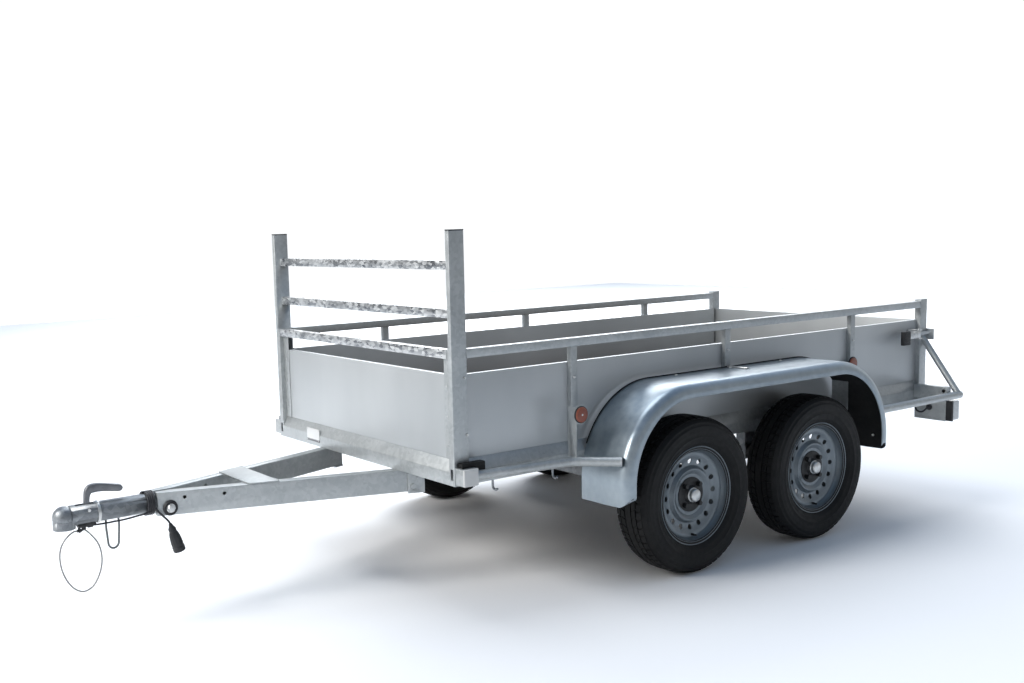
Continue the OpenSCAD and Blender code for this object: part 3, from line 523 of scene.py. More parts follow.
# Heads of bolts, screws and rivets: one turned head set on every point.
heads = Tree("fixing_heads", Radius="Float", Top="Float", Height="Float", Sides="Int", Facing="Vector",
             Finish="Material")
head = heads.node("GeometryNodeMeshCone", None, {
    "Vertices": heads.start["Sides"], "Radius Top": heads.start["Top"],
    "Radius Bottom": heads.start["Radius"], "Depth": heads.start["Height"]})
aim = heads.node("FunctionNodeAlignRotationToVector", {"axis": "Z"}, {"Vector": heads.start["Facing"]})
heads.end(heads.node("GeometryNodeInstanceOnPoints", None, {
    "Points": heads.start["Geometry"], "Instance": head, "Rotation": aim}), heads.start["Finish"])


def fixings(name, points, facing, radius, height, finish, slot, body=ROOT, sides=6, top=0.82):
    made = heads.make(dots(points), Radius=radius, Top=radius * top, Height=height, Sides=sides,
                      Facing=facing, Finish=finish.material)
    return piece(name, made, finish, body, slot, sharp=30)


# Weld beads: overlapping beads of metal laid along a seam.
weld = Tree("weld_bead", Step="Float", Radius="Float", Seed="Int", Finish="Material")
seam = weld.node("GeometryNodeResampleCurve", {"mode": "LENGTH"}, {
    "Curve": weld.node("GeometryNodeMeshToCurve", None, {0: weld.start["Geometry"]}),
    "Length": weld.start["Step"]})
drop_bead = weld.node("GeometryNodeMeshIcoSphere", None, {
    "Radius": weld.start["Radius"], "Subdivisions": 2})
size_of_bead = weld.node("FunctionNodeRandomValue", {"data_type": "FLOAT"}, {
    2: 0.75, 3: 1.1, "Seed": weld.start["Seed"]}, 1)
weld.end(weld.node("GeometryNodeInstanceOnPoints", None, {
    "Points": seam, "Instance": drop_bead, "Scale": size_of_bead}), weld.start["Finish"])


def welds(name, seams, radius=0.0022, step=0.0021, finish=None, body=ROOT):
    """Weld beads along straight seams, each a pair of points."""
    mesh = bpy.data.meshes.new("seams")
    mesh.from_pydata([tuple(p) for pair in seams for p in pair],
                     [(2 * i, 2 * i + 1) for i in range(len(seams))], [])
    made = weld.make(mesh, Step=step, Radius=radius, Seed=7, Finish=(finish or zinc).material)
    return piece(name, made, finish or zinc, body, "zinc", sharp=60)


half_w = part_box("side_sills")[1].y       # outer face of the body
sill_low, sill_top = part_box("side_sills")[0].z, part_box("side_sills")[1].z
both = (1, -1)

# Rope hooks: bent rod under the side sills, welded by the shank.
hooks = []
for x in (-0.165, -0.430):
    for s in both:
        turn = [(front + x, s * (half_w - 0.012), z) for z in (sill_low, sill_low - 0.012)]
        turn += [(front + x, s * (half_w + 0.002 - 0.014 * math.cos(a)),
                  sill_low - 0.020 - 0.014 * math.sin(a))
                 for a in [math.radians(12 * k) for k in range(13)]]
        hooks.append(tube_along(smooth_path(turn, 3), 0.004, 14, ups=(1, 0, 0)))
piece("bent_rope_hooks", joined(*hooks), dull_zinc, ROOT, "zinc_dull", "rope_hooks")

# Floor: film-faced plywood, dark brown, with a pressed wire pattern on top.
ply = Finish("film_faced_plywood", Specular_IOR_Level=0.45)
wires = ply.node("ShaderNodeTexVoronoi", {"feature": "DISTANCE_TO_EDGE"}, {
    "Vector": ply.place(), "Scale": 190.0, "Randomness": 0.12})
worn = ply.noise(2.2, 5)
ply.feed(Base_Color=ply.between(ply.ramp(worn, 0.35, 0.75),
                                (0.055, 0.030, 0.018), (0.110, 0.070, 0.045)),
         Roughness=0.42 + 0.3 * worn)
ply.bump(ply.ramp(wires, 0.0, 0.10), 0.0006, 0.8)
piece("floor_board", rounded("floor_panel", 0.001), ply, ROOT, "plywood", "floor_panel")
floor_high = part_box("floor_panel")[1]
screw_rows = [front - 0.240 - 0.565 * i for i in range(5)]
fixings("floor_screws", [(x, y, floor_high.z + 0.0003) for x in screw_rows
                         for y in np.linspace(-0.53, 0.53, 6)],
        (0, 0, 1), 0.0055, 0.0016, bright_zinc, "zinc_bright", sides=12, top=0.7)

# ------------------------------------------------------------------ boards
# Hollow sheet boards with plain faces, held between posts and set on the
# sills. Their skins are smooth and pale, with faint flow marks.
board_sheet = Finish("pale_board_sheet", Metallic=0.55)
flow = board_sheet.noise(3.0, 4, board_sheet.place((1.0, 1.0, 0.35)))
blotch = board_sheet.noise(1.3, 3)
board_sheet.feed(
    Base_Color=board_sheet.between(board_sheet.ramp(0.6 * flow + 0.6 * blotch, 0.35, 0.85),
                                   (0.40, 0.42, 0.43), (0.55, 0.57, 0.575)),
    Roughness=0.36 + 0.18 * flow)
board_sheet.bump(board_sheet.noise(14.0, 3) + 0.15 * board_sheet.noise(600.0, 2), 0.0006, 0.22)
for node in ("side_boards", "front_board"):
    piece("shaped_" + node, rounded(node, 0.003), board_sheet, ROOT, "sheet", node)
piece("shaped_front_channels", rounded("front_channels", 0.0014), zinc, ROOT, "zinc", "front_channels")

# ------------------------------------------------------------------ ladder rack
# Two tall posts with three bars welded between them and black caps on top.
# The rails run back from the posts on small posts to the rear corners.
for node, radius, finish in (("ladder_posts", 0.0035, zinc), ("ladder_bars", 0.0032, spangle),
                             ("side_rails", 0.0032, zinc), ("rail_posts", 0.0028, zinc),
                             ("rear_posts", 0.0035, zinc)):
    piece("shaped_" + node, rounded(node, radius, 0.0195), finish, ROOT, "zinc", node)
piece("shaped_post_caps", rounded("post_caps", 0.0014, 0.02), black_plastic,
      ROOT, "plastic_black", "post_caps")

ladder_seams = []
for s in both:
    for z0, x1, w in ((0.983, front - 0.025, 0.020), (1.141, front - 0.025, 0.020),
                      (0.853, front, 0.030)):
        x0 = x1 - 0.030
        y, z1 = s * (half_w - w), z0 + 0.030
        ladder_seams += [((x0, y, z0), (x0, y, z1)), ((x1, y, z0), (x1, y, z1)),
                         ((x0, y, z1), (x1, y, z1)), ((x0, y, z0), (x1, y, z0))]
    for x in (front - 0.060, front - 2.630):
        ladder_seams += [((x, s * half_w, 0.853), (x, s * half_w, 0.883)),
                         ((x, s * (half_w - 0.03), 0.883), (x, s * half_w, 0.883)),
                         ((x, s * half_w, sill_low), (x, s * half_w, 0.478))]
    for x, y, z in ((-0.525, half_w, 0.853), (-1.325, half_w, 0.853), (-2.125, half_w, 0.853),
                    (-0.525, half_w - 0.002, sill_top), (-2.125, half_w - 0.002, sill_top)):
        ladder_seams += [((front + x - 0.015, s * y, z), (front + x + 0.015, s * y, z))]
welds("frame_welds", ladder_seams)
board_bolts = [(front + x, s * (half_w + 0.0015), z) for s in both
               for x in (-0.525, -2.125) for z in (0.560, 0.745)]
board_bolts += [(front - 1.325, s * (half_w + 0.0015), 0.772) for s in both]
for s in both:
    fixings("board_bolts_" + ("left" if s > 0 else "right"),
            [p for p in board_bolts if p[1] * s > 0], (0, s, 0),
            0.0055, 0.004, bright_zinc, "zinc_bright", sides=16, top=0.7)
fixings("post_bolts", [(front - 0.050, half_w + 0.0015, 0.790), (front - 0.055, half_w + 0.0015, 0.600)],
        (0, 1, 0), 0.0050, 0.004, bright_zinc, "zinc_bright", sides=16, top=0.7)
fixings("channel_rivets", [(front - 0.0165, s * 0.572, z) for s in both for z in (0.56, 0.66, 0.76)],
        (1, 0, 0), 0.0045, 0.003, bright_zinc, "zinc_bright", sides=14, top=0.6)

# ------------------------------------------------------------------ drawbar
# Two box-section beams meet in a V at the coupling. They are clamped under the
# front sill, with a flat gusset welded across their tops.
piece("shaped_drawbar_beams", rounded("drawbar_beams", 0.005, 0.05), zinc, ROOT, "zinc", "drawbar_beams")
piece("shaped_drawbar_gusset", rounded("drawbar_gusset", 0.001), zinc, ROOT, "zinc", "drawbar_gusset")
piece("shaped_drawbar_clamps", rounded("drawbar_clamps", 0.0012), zinc, ROOT, "zinc", "drawbar_clamps")
welds("gusset_welds", [((front + 0.401, s * y0, 0.437), (front + 0.401, s * y1, 0.437))
                       for s in both for y0, y1 in ((0.112, 0.150),)]
      + [((front + 0.500, s * 0.083, 0.437), (front + 0.500, s * 0.121, 0.437)) for s in both])

# ------------------------------------------------------------------ coupling
# Pressed-steel coupling on a round tube, with a cast lever. A through bolt with
# broad black washers holds it between the beams.
piece("coupling_shell", rounded("coupling_body", 0.004, 0.012, 4), dull_zinc,
      ROOT, "zinc_dull", "coupling_body", sharp=50)
piece("coupling_jaw_block", rounded("coupling_jaw", 0.0005), dull_zinc,
      "jaw", "zinc_dull", "coupling_jaw")
piece("coupling_pins", rounded("coupling_bolts", 0.0006, 0.006), bright_zinc,
      ROOT, "zinc_bright", "coupling_bolts")
coupling_z = 0.397
cross_bolt = Vector((front + 0.752, 0, 0.379))
for s in both:
    side = "left" if s > 0 else "right"
    washer = moved(lathe([(0.0145, 0.0), (0.0260, 0.0), (0.0262, 0.003), (0.0225, 0.0082),
                          (0.0175, 0.0082), (0.0145, 0.0060)], 48),
                   Matrix.Rotation(-s * math.pi / 2, 4, "X"),
                   Matrix.Translation(cross_bolt + Vector((0, s * 0.0475, 0))))
    piece("bolt_washer_" + side, washer, black_plastic, ROOT, "plastic_black")
seam_ring = lathe([(0.0334, -0.0050), (0.0358, -0.0045), (0.0370, 0), (0.0358, 0.0045),
                   (0.0334, 0.0050)], 72)
moved(seam_ring, Matrix.Rotation(math.pi / 2, 4, "Y"),
      Matrix.Translation((front + 0.982, 0, coupling_z)))
piece("coupling_seam", seam_ring, bright_zinc, ROOT, "zinc_bright")

# Lever: a hooked casting, thicker at its spine, with a rounded grip.
lever_line = [(0.000, 0.000), (-0.001, 0.018), (-0.002, 0.034), (-0.005, 0.050), (-0.013, 0.0615),
              (-0.027, 0.0650), (-0.050, 0.0640), (-0.075, 0.0600), (-0.095, 0.0560), (-0.110, 0.0535)]
lever_width = [0.0110, 0.0098, 0.0092, 0.0110, 0.0140, 0.0150, 0.0140, 0.0130, 0.0125, 0.0120]
pivot = Vector((front + 1.015, 0, 0.411))


def lever():
    line = smooth_path([(x, w, z) for (x, z), w in zip(lever_line, lever_width)], 5)
    line += [line[-1] + Vector((-0.0105 * math.sin(a), -0.013 * (1 - math.cos(a)) * 0.999, 0)) for a in
             [math.radians(k) for k in (25, 50, 70, 85)]]
    bm = bmesh.new()
    rings = []
    for i, p in enumerate(line):
        ahead = line[min(i + 1, len(line) - 1)] - line[max(i - 1, 0)]
        ahead.y = 0
        ahead.normalize()
        across = Vector((ahead.z, 0, -ahead.x))
        ring = []
        for k in range(24):
            a = 2 * math.pi * k / 24
            u = abs(math.cos(a)) ** 0.55 * math.copysign(1, math.cos(a)) * p.y
            v = abs(math.sin(a)) ** 0.55 * math.copysign(1, math.sin(a)) * 0.0098
            ring.append(bm.verts.new(pivot + Vector((p.x, 0, p.z)) + across * u + Vector((0, v, 0))))
        rings.append(ring)
    for low, high in zip(rings, rings[1:]):
        for k in range(24):
            bm.faces.new((low[k], low[(k + 1) % 24], high[(k + 1) % 24], high[k]))
    bm.faces.new(rings[0])
    bm.faces.new(rings[-1])
    bmesh.ops.recalc_face_normals(bm, faces=bm.faces)
    return bm


cast = Finish("dark_cast_lever", Metallic=0.75)
cast.feed(Base_Color=cast.between(cast.noise(45.0, 4), (0.11, 0.115, 0.125), (0.24, 0.245, 0.255)),
          Roughness=0.30 + 0.22 * cast.noise(120.0))
cast.bump(cast.noise(420.0, 3), 0.0006, 0.5)
boss = moved(lathe([(0.0052, -0.0099), (0.0108, -0.0099), (0.0120, -0.0085), (0.0120, 0.0085),
                    (0.0108, 0.0099), (0.0052, 0.0099)], 48),
             Matrix.Rotation(math.pi / 2, 4, "X"), Matrix.Translation(pivot))
piece("coupling_lever", joined(lever(), boss), cast, "handle", "handle_paint", "coupling_handle",
      sharp=60)

# Safety bail under the tube: a wire U that a chain or line is hooked to.
bail_x = front + 0.934
bail = [(bail_x - 0.021, 0, 0.3645), (bail_x - 0.0215, 0, 0.340), (bail_x - 0.0195, 0, 0.312)]
bail += [(bail_x - 0.0175 * math.cos(a), 0, 0.286 - 0.0200 * math.sin(a)) for a in
         [math.radians(15 * k) for k in range(13)]]
bail += [(bail_x + 0.0195, 0, 0.312), (bail_x + 0.0215, 0, 0.340), (bail_x + 0.021, 0, 0.3645)]
bar = Finish("dark_wire", Metallic=0.7)
bar.feed(Base_Color=bar.between(bar.noise(80.0), (0.10, 0.11, 0.11), (0.20, 0.21, 0.21)),
         Roughness=0.40 + 0.2 * bar.noise(200.0))
bar.bump(bar.noise(900.0), 0.0002, 0.4)
piece("wire_bail", tube_along(smooth_path(bail, 3), 0.0035, 20), bar, ROOT, "zinc_dull", "safety_bail")

# Eye plate for the breakaway cable, and its sleeve.
eye_pad = joined(
    block((eye.x - 0.052, -0.015, eye.z + 0.0075), (eye.x + 0.006, 0.015, eye.z + 0.0200), 0.0030),
    block((eye.x - 0.048, -0.018, eye.z + 0.0120), (eye.x - 0.016, 0.018, eye.z + 0.0290), 0.0040),
    block((eye.x - 0.020, -0.006, eye.z - 0.0020), (eye.x - 0.008, 0.006, eye.z + 0.0090), 0.0015),
    block((eye.x - 0.006, -0.003, eye.z + 0.0075), (eye.x + 0.006, 0.003, eye.z + 0.0125), 0.001),
    moved(lathe([(0.009 + 0.0025 * math.cos(a), 0.0025 * math.sin(a)) for a in
                 [math.radians(30 * k) for k in range(12)]], 40),
          Matrix.Rotation(math.pi / 2, 4, "Y"), Matrix.Translation(eye)),
    moved(lathe([(0.0028, -0.008), (0.0042, -0.008), (0.0048, -0.0068), (0.0048, -0.002), (0.0042, 0.0),
                 (0.0048, 0.002), (0.0048, 0.0068), (0.0042, 0.008), (0.0028, 0.008)], 24),
          Matrix.Rotation(math.pi / 2, 4, "Y"), Matrix.Translation(eye + Vector((0, 0, -0.004)))))
piece("eye_plate", eye_pad, black_plastic, ROOT, "plastic_black", "cable_bracket")

# The lighting cable is wound round the coupling's tube and its end is led
# forward under the tube to a clip.
coil = Tree("wound_cable", Turns="Float", Radius="Float", Length="Float", Wire="Float",
            Finish="Material")
spiral = coil.node("GeometryNodeCurveSpiral", None, {
    "Resolution": 40, "Rotations": coil.start["Turns"], "Start Radius": coil.start["Radius"],
    "End Radius": coil.start["Radius"], "Height": coil.start["Length"]})
ring = coil.node("GeometryNodeCurvePrimitiveCircle", None, {
    "Resolution": 14, "Radius": coil.start["Wire"]})
coil.end(coil.node("GeometryNodeCurveToMesh", None, {
    "Curve": spiral, "Profile Curve": ring, "Fill Caps": True}), coil.start["Finish"])
wound = coil.make(bpy.data.meshes.new("none"), Turns=4.5, Radius=0.0378, Length=0.0310, Wire=0.0040,
                  Finish=sheath.material)
wound.transform(Matrix.Translation((front + 0.7955, 0, coupling_z))
                @ Matrix.Rotation(math.pi / 2, 4, "Y"))
piece("cable_winding", wound, sheath, ROOT, "cable_sheath")
lead_route = [(0, 33, -24), (14, 32, -26), (32, 30, -29), (52, 26, -32), (74, 20, -36), (98, 15, -39),
              (122, 12, -40), (140, 11, -41), (162, 6, -42), (184, 3, -42)]
lead = smooth_path([Vector((front + 0.811, 0, coupling_z)) + Vector(p) / 1000 for p in lead_route], 5)
clip = block((front + 0.998, -0.006, coupling_z - 0.048),
             (front + 1.016, 0.006, coupling_z - 0.039), 0.0015)
piece("cable_lead", joined(tube_along(lead, 0.003, 16), clip), sheath,
      ROOT, "cable_sheath", "cable_bundle")

# ------------------------------------------------------------------ axles and arms
# Square axle tubes under the floor, with rubber-sprung swing arms on their
# ends. The beams are dull zinc and the arms are black.
piece("shaped_axle_beams", rounded("axle_beams", 0.004, 0.03), dull_zinc,
      ROOT, "zinc_dull", "axle_beams", sharp=50)
arm_paint = Finish("black_arm_steel", Metallic=0.35)
arm_paint.feed(Base_Color=arm_paint.between(arm_paint.noise(26.0, 4),
                                            (0.022, 0.023, 0.024), (0.060, 0.060, 0.058)),
               Roughness=0.42 + 0.25 * arm_paint.noise(90.0))
arm_paint.bump(arm_paint.noise(300.0, 3), 0.0005, 0.5)

# ------------------------------------------------------------------ wheels
# 13-inch road tyres on pressed steel discs with round vents, a raised ring and
# a four-bolt hub under a bright cap. The wheels turn on the swing arms.
rubber = Finish("tyre_rubber", Specular_IOR_Level=0.28)
dust = rubber.noise(7.0, 5)
rubber.feed(Base_Color=rubber.between(rubber.ramp(dust, 0.35, 0.8),
                                      (0.0035, 0.0038, 0.0042), (0.0105, 0.0105, 0.0100)),
            Roughness=0.50 + 0.3 * rubber.noise(60.0))
rubber.bump(rubber.noise(700.0, 3), 0.0004, 0.5)
rim_grey = Finish("rim_enamel", Metallic=0.55, Coat_Weight=0.35, Coat_Roughness=0.18)
rim_grey.feed(Base_Color=rim_grey.between(rim_grey.noise(16.0, 4),
                                          (0.125, 0.150, 0.170), (0.190, 0.220, 0.240)),
              Roughness=0.32 + 0.2 * rim_grey.noise(120.0))
rim_grey.bump(rim_grey.noise(500.0, 2), 0.0002, 0.4)
# The hub steel is coloured near black, on the hub and its bolts: painted shade for the dark hollow round
# the cap.
hub_steel_painted_shade = Finish("turned_hub_steel_painted_shade", Metallic=0.75)
hub_steel_painted_shade.feed(Base_Color=hub_steel_painted_shade.between(hub_steel_painted_shade.noise(50.0, 4),
                                            (0.018, 0.019, 0.020), (0.060, 0.060, 0.060)),
               Roughness=0.34 + 0.28 * hub_steel_painted_shade.noise(150.0))
hub_steel_painted_shade.bump(hub_steel_painted_shade.noise(600.0, 2), 0.0003, 0.5)

tread_low, tread_top = 0.2818, 0.2884

# The tread: one pitch of blocks, repeated round the tyre.
pitches = 58
tread = Tree("tread_pattern", Pitches="Int", Pitch_Angle="Float", Block="Object", Finish="Material")
around = tread.node("GeometryNodePoints", None, {"Count": tread.start["Pitches"]})
turn = tread.node("ShaderNodeMath", {"operation": "MULTIPLY"}, {
    0: tread.node("GeometryNodeInputIndex"), 1: tread.start["Pitch_Angle"]})
turn_y = tread.node("ShaderNodeCombineXYZ", None, {"Y": turn})
pitch = tread.node("GeometryNodeObjectInfo", {"transform_space": "ORIGINAL"}, {
    "Object": tread.start["Block"]}, "Geometry")
tread.end(tread.node("GeometryNodeInstanceOnPoints", None, {
    "Points": around, "Instance": pitch,
    "Rotation": tread.node("FunctionNodeEulerToRotation", None, {0: turn_y})}), tread.start["Finish"])


def tread_pitch():
    """One pitch: two shoulder blocks, two ribs and a stepped centre rib."""
    bm = bmesh.new()
    step_angle = 2 * math.pi / pitches
    # across the tyre from, to; start and length along the pitch; skew; height drop
    blocks = [(-0.0590, -0.0400, 0.06, 0.80, 0.10, 0.0022), (-0.0360, -0.0175, 0.00, 0.86, 0.30, 0.0),
              (-0.0130, 0.0130, 0.00, 1.0, 0.0, 0.0), (0.0175, 0.0360, 0.14, 0.86, -0.30, 0.0),
              (0.0400, 0.0590, 0.14, 0.80, -0.10, 0.0022)]
    for y0, y1, begin, length, skew, drop in blocks:
        steps = 3
        rows = []
        for k in range(steps + 1):
            row = []
            for y in (y0, y1):
                share = begin + length * k / steps + skew * (y - y0) / (y1 - y0)
                a = step_angle * share
                edge = abs(y) > 0.05
                top = tread_top - (drop if edge else 0) - 0.10 * max(0, abs(y) - 0.02) ** 2 / 0.04
                for r in (tread_low - 0.0015, top):
                    row.append(bm.verts.new((r * math.sin(a), y, r * math.cos(a))))
            rows.append(row)
        for low, high in zip(rows, rows[1:]):
            bm.faces.new((low[1], low[3], high[3], high[1]))
            bm.faces.new((low[0], low[1], high[1], high[0]))
            bm.faces.new((low[3], low[2], high[2], high[3]))
        bm.faces.new((rows[0][0], rows[0][2], rows[0][3], rows[0][1]))
        bm.faces.new((rows[-1][0], rows[-1][1], rows[-1][3], rows[-1][2]))
    bmesh.ops.recalc_face_normals(bm, faces=bm.faces)
    return bm


# Round holes through the disc: cutters on a circle, taken out of the disc.
vents = Tree("vented_disc", Number="Int", Circle="Float", Hole="Float", Finish="Material")
holes_at = vents.node("GeometryNodeMeshCircle", None, {
    "Vertices": vents.start["Number"], "Radius": vents.start["Circle"]})
cutter = vents.node("GeometryNodeMeshCylinder", None, {
    "Vertices": 24, "Radius": vents.start["Hole"], "Depth": 0.09})
cutters = vents.node("GeometryNodeRealizeInstances", None, {0: vents.node(
    "GeometryNodeInstanceOnPoints", None, {"Points": holes_at, "Instance": cutter})})
vents.end(vents.node("GeometryNodeMeshBoolean", {"operation": "DIFFERENCE", "solver": "EXACT"}, {
    "Mesh 1": vents.start["Geometry"], "Mesh 2": cutters}), vents.start["Finish"])


def arc(cx, cy, r, first, last, count):
    """Points of an arc in a profile, angles in degrees."""
    return [(cx + r * math.cos(math.radians(first + (last - first) * k / count)),
             cy + r * math.sin(math.radians(first + (last - first) * k / count))) for k in range(count + 1)]


# Profiles across the wheel: radius, distance out from the tyre's middle.
side_wall = [(0.1660, 0.0560), (0.1750, 0.0600), (0.1840, 0.0590), (0.1855, 0.0602), (0.1875, 0.0632),
             (0.1960, 0.0672), (0.1975, 0.0690), (0.2000, 0.0697), (0.2150, 0.0750), (0.2165, 0.0765),
             (0.2185, 0.0765), (0.2200, 0.0755), (0.2350, 0.0785), (0.2440, 0.0785), (0.2520, 0.0770),
             (0.2545, 0.0775), (0.2565, 0.0765), (0.2580, 0.0745), (0.2660, 0.0705), (0.2680, 0.0712),
             (0.2700, 0.0695), (0.2760, 0.0610), (0.2805, 0.0560), (0.2818, 0.0480)]
rim_flange = [(0.1640, 0.0440), (0.1655, 0.0540), (0.1700, 0.0580), (0.1775, 0.0595)]
rim_flange += arc(0.1795, 0.0590, 0.0026, 70, -60, 6)
disc_profile = [(0.1610, 0.0300), (0.1560, 0.0360), (0.1480, 0.0372), (0.1400, 0.0345), (0.1330, 0.0300),
                (0.1250, 0.0262), (0.1120, 0.0240), (0.1060, 0.0252), (0.1000, 0.0325)]
disc_profile += arc(0.0930, 0.0330, 0.0065, 60, 130, 4)
disc_profile += [(0.0820, 0.0345), (0.0760, 0.0300), (0.0330, 0.0300)]


def wheel_place(centre, s):
    """Turns a shape made about +Z so that +Z is the outer side of a wheel."""
    return Matrix.Translation(centre) @ Matrix.Rotation(-s * math.pi / 2, 4, "X")


for label in ("front", "rear"):
    for s in both:
        end = label + ("_left" if s > 0 else "_right")
        wheel = "wheel_" + end
        low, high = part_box("tyre_" + end)
        centre = (low + high) / 2
        place = wheel_place(centre, s)

        wall = side_wall + [(r, -y) for r, y in reversed(side_wall)]
        piece("tyre_case_" + end, moved(lathe(wall, 120), place), rubber, wheel, "tyre_rubber",
              "tyre_" + end, sharp=60)
        pitch_mesh = bpy.data.meshes.new("pitch")
        tread_pitch().to_mesh(pitch_mesh)
        pitch_object = bpy.data.objects.new("pitch", pitch_mesh)
        scene.collection.objects.link(pitch_object)
        blocks = tread.make(bpy.data.meshes.new("none"), Pitches=pitches,
                            Pitch_Angle=2 * math.pi / pitches, Block=pitch_object,
                            Finish=rubber.material)
        bpy.data.objects.remove(pitch_object)
        blocks.transform(Matrix.Translation(centre) @ Matrix.Diagonal((1, s, 1, 1)))
        if s < 0:
            blocks.flip_normals()
        piece("tread_" + end, blocks, rubber, wheel, "tyre_rubber", sharp=25)

        barrel = rim_flange + [(0.1790, 0.0560), (0.1740, 0.0560), (0.1700, 0.0520), (0.1680, 0.0430)]
        barrel += [(0.1590, 0.0340), (0.1590, -0.0340), (0.1680, -0.0430), (0.1700, -0.0560),
                   (0.1815, -0.0590), (0.1815, -0.0615), (0.1680, -0.0600), (0.1640, -0.0440),
                   (0.1560, -0.0330), (0.1560, 0.0330)]
        rim_made = lathe(barrel, 96)
        disc_mesh = bpy.data.meshes.new("disc")
        under_disc = [(r - 0.0005, y - 0.0035) for r, y in reversed(disc_profile)]
        disc = lathe(disc_profile + under_disc, 96)
        disc.to_mesh(disc_mesh)
        disc.free()
        cut = vents.make(disc_mesh, Number=16, Circle=0.1225, Hole=0.0098, Finish=rim_grey.material)
        whole = bmesh.new()
        whole.from_mesh(cut)
        rim_made = joined(rim_made, whole)
        piece("rim_" + end + "_pressing", moved(rim_made, place), rim_grey, wheel, "rim_paint",
              "rim_" + end, sharp=30)

        drum = [(0.0001, 0.0), (0.0600, 0.0), (0.0980, -0.004), (0.1000, -0.008), (0.1000, -0.044),
                (0.0960, -0.048), (0.0001, -0.048)]
        boss = [(0.0001, 0.0300), (0.0640, 0.0300), (0.0640, 0.0322), (0.0600, 0.0335), (0.0350, 0.0335),
                (0.0320, 0.0360), (0.0290, 0.0420), (0.0275, 0.0430), (0.0001, 0.0430)]
        cap = [(0.0001, 0.0425), (0.0262, 0.0425), (0.0270, 0.0440), (0.0258, 0.0455), (0.0240, 0.0460),
               (0.0236, 0.0560), (0.0222, 0.0590), (0.0180, 0.0612), (0.0001, 0.0620)]
        piece("hub_" + end + "_turned", moved(joined(lathe(drum, 64), lathe(boss, 64)), place),
              hub_steel_painted_shade, wheel, "hub_steel", "hub_" + end, sharp=35)
        piece("hub_cap_" + end, moved(lathe(cap, 48), place), bright_zinc, wheel, "zinc_bright",
              sharp=50)
        spots = [place @ Vector((0.050 * math.cos(a), 0.050 * math.sin(a), 0.0345))
                 for a in [math.radians(45 + 90 * k) for k in range(4)]]
        fixings("wheel_bolts_" + end, spots, (0, s, 0), 0.0100, 0.014, hub_steel_painted_shade, "hub_steel",
                wheel, 6, 0.9)
        valve = moved(lathe([(0.0001, 0), (0.0045, 0), (0.0045, 0.010), (0.0030, 0.012), (0.0030, 0.022),
                             (0.0001, 0.023)], 16), Matrix.Translation((0.0, 0.148, 0.036)))
        piece("valve_" + end, moved(valve, place), rubber, wheel, "plastic_black")
        arm = "arm_" + end
        piece("shaped_" + arm, rounded(arm, 0.0015, 0.012), arm_paint, "swing_" + arm, "arm_steel", arm)

# ------------------------------------------------------------------ fenders
# One pressed fender over both wheels of a side: a flat top between two round
# corners, a rolled bead round its lip and a round-ended foot. It is held by
# stay tubes, gussets and bolts, with a rubber strip against the body.
fender_zinc_painted_sky = Finish("fender_zinc_sheet_painted_sky_tint", Metallic=0.78)
sweep_marks = fender_zinc_painted_sky.noise(2.5, 4, fender_zinc_painted_sky.place((1.0, 0.25, 1.0)))
mottle = fender_zinc_painted_sky.noise(38.0, 4)
# The zinc grey carries a blue cast that is a painted reflection of the sky; the streaks and mottle are the
# sheet's own.
fender_zinc_painted_sky.feed(
    Base_Color=fender_zinc_painted_sky.between(fender_zinc_painted_sky.ramp(0.55 * sweep_marks + 0.5 * mottle, 0.35, 0.8),
                                    (0.27, 0.32, 0.36), (0.42, 0.47, 0.50)),
    Roughness=0.27 + 0.14 * mottle)
fender_zinc_painted_sky.bump(fender_zinc_painted_sky.noise(10.0, 3) + 0.12 * fender_zinc_painted_sky.noise(300.0, 2), 0.0007, 0.25)

fender_front, fender_rear = front - 0.884, front - 1.735
fender_z, fender_r, fender_reach = 0.375, 0.330, 0.225
foot_z, lip, round_edge, skin = 0.305, 0.050, 0.036, 0.0020
corner_r = 0.050                         # rounding of the foot's outer corner
seal_gap = 0.0003                        # the coat lies this far under the sheet


def fender_section():
    """Half turn of the sheet: (distance out, drop below the crown), outer then inner."""
    outer = [(0.0005, 0.0), (0.060, 0.0), (0.120, 0.0)]
    outer += [(fender_reach - round_edge + round_edge * math.sin(a), round_edge - round_edge * math.cos(a))
              for a in [math.radians(15 * k) for k in range(7)]]
    outer += [(fender_reach, lip - 0.006)]
    bead = [(fender_reach - 0.0035 + 0.0035 * math.cos(a), lip - 0.0035 + 0.0035 * math.sin(a))
            for a in [math.radians(-40 + 30 * k) for k in range(10)]]
    inner_r = round_edge - skin
    inner = [(fender_reach - skin, lip - 0.012)]
    inner += [(fender_reach - round_edge + inner_r * math.sin(a), round_edge - inner_r * math.cos(a))
              for a in [math.radians(90 - 15 * k) for k in range(7)]]
    inner += [(0.120, skin), (0.060, skin), (0.0005, skin)]
    return outer + bead + inner


def fender_rings(section, s, lift_corner=True):
    """The section placed along the fender, from the front foot to the rear one."""
    rings = []

    def ring_at(middle, angle, share=0):
        out = Vector((math.cos(angle), 0, math.sin(angle)))
        ring = []
        for w, drop in section:
            here = Vector((middle, 0, fender_z)) + out * (fender_r - drop)
            if share:
                run = here.z - foot_z
                near_edge = max(0.0, w - (fender_reach - corner_r)) / corner_r if lift_corner else 0.0
                run -= corner_r * (1 - math.sqrt(max(0.0, 1 - min(1.0, near_edge) ** 2)))
                here.z -= run * share
            ring.append((here.x, s * (half_w + w), here.z))
        rings.append(ring)

    for share in (1.0, 0.66, 0.33):
        ring_at(fender_front, 0, share)
    for k in range(29):
        ring_at(fender_front, math.pi / 2 * k / 28)
    for k in range(1, 8):
        ring_at(fender_front + (fender_rear - fender_front) * k / 8, math.pi / 2)
    for k in range(29):
        ring_at(fender_rear, math.pi / 2 + math.pi / 2 * k / 28)
    for share in (0.33, 0.66, 1.0):
        ring_at(fender_rear, math.pi, share)
    return rings


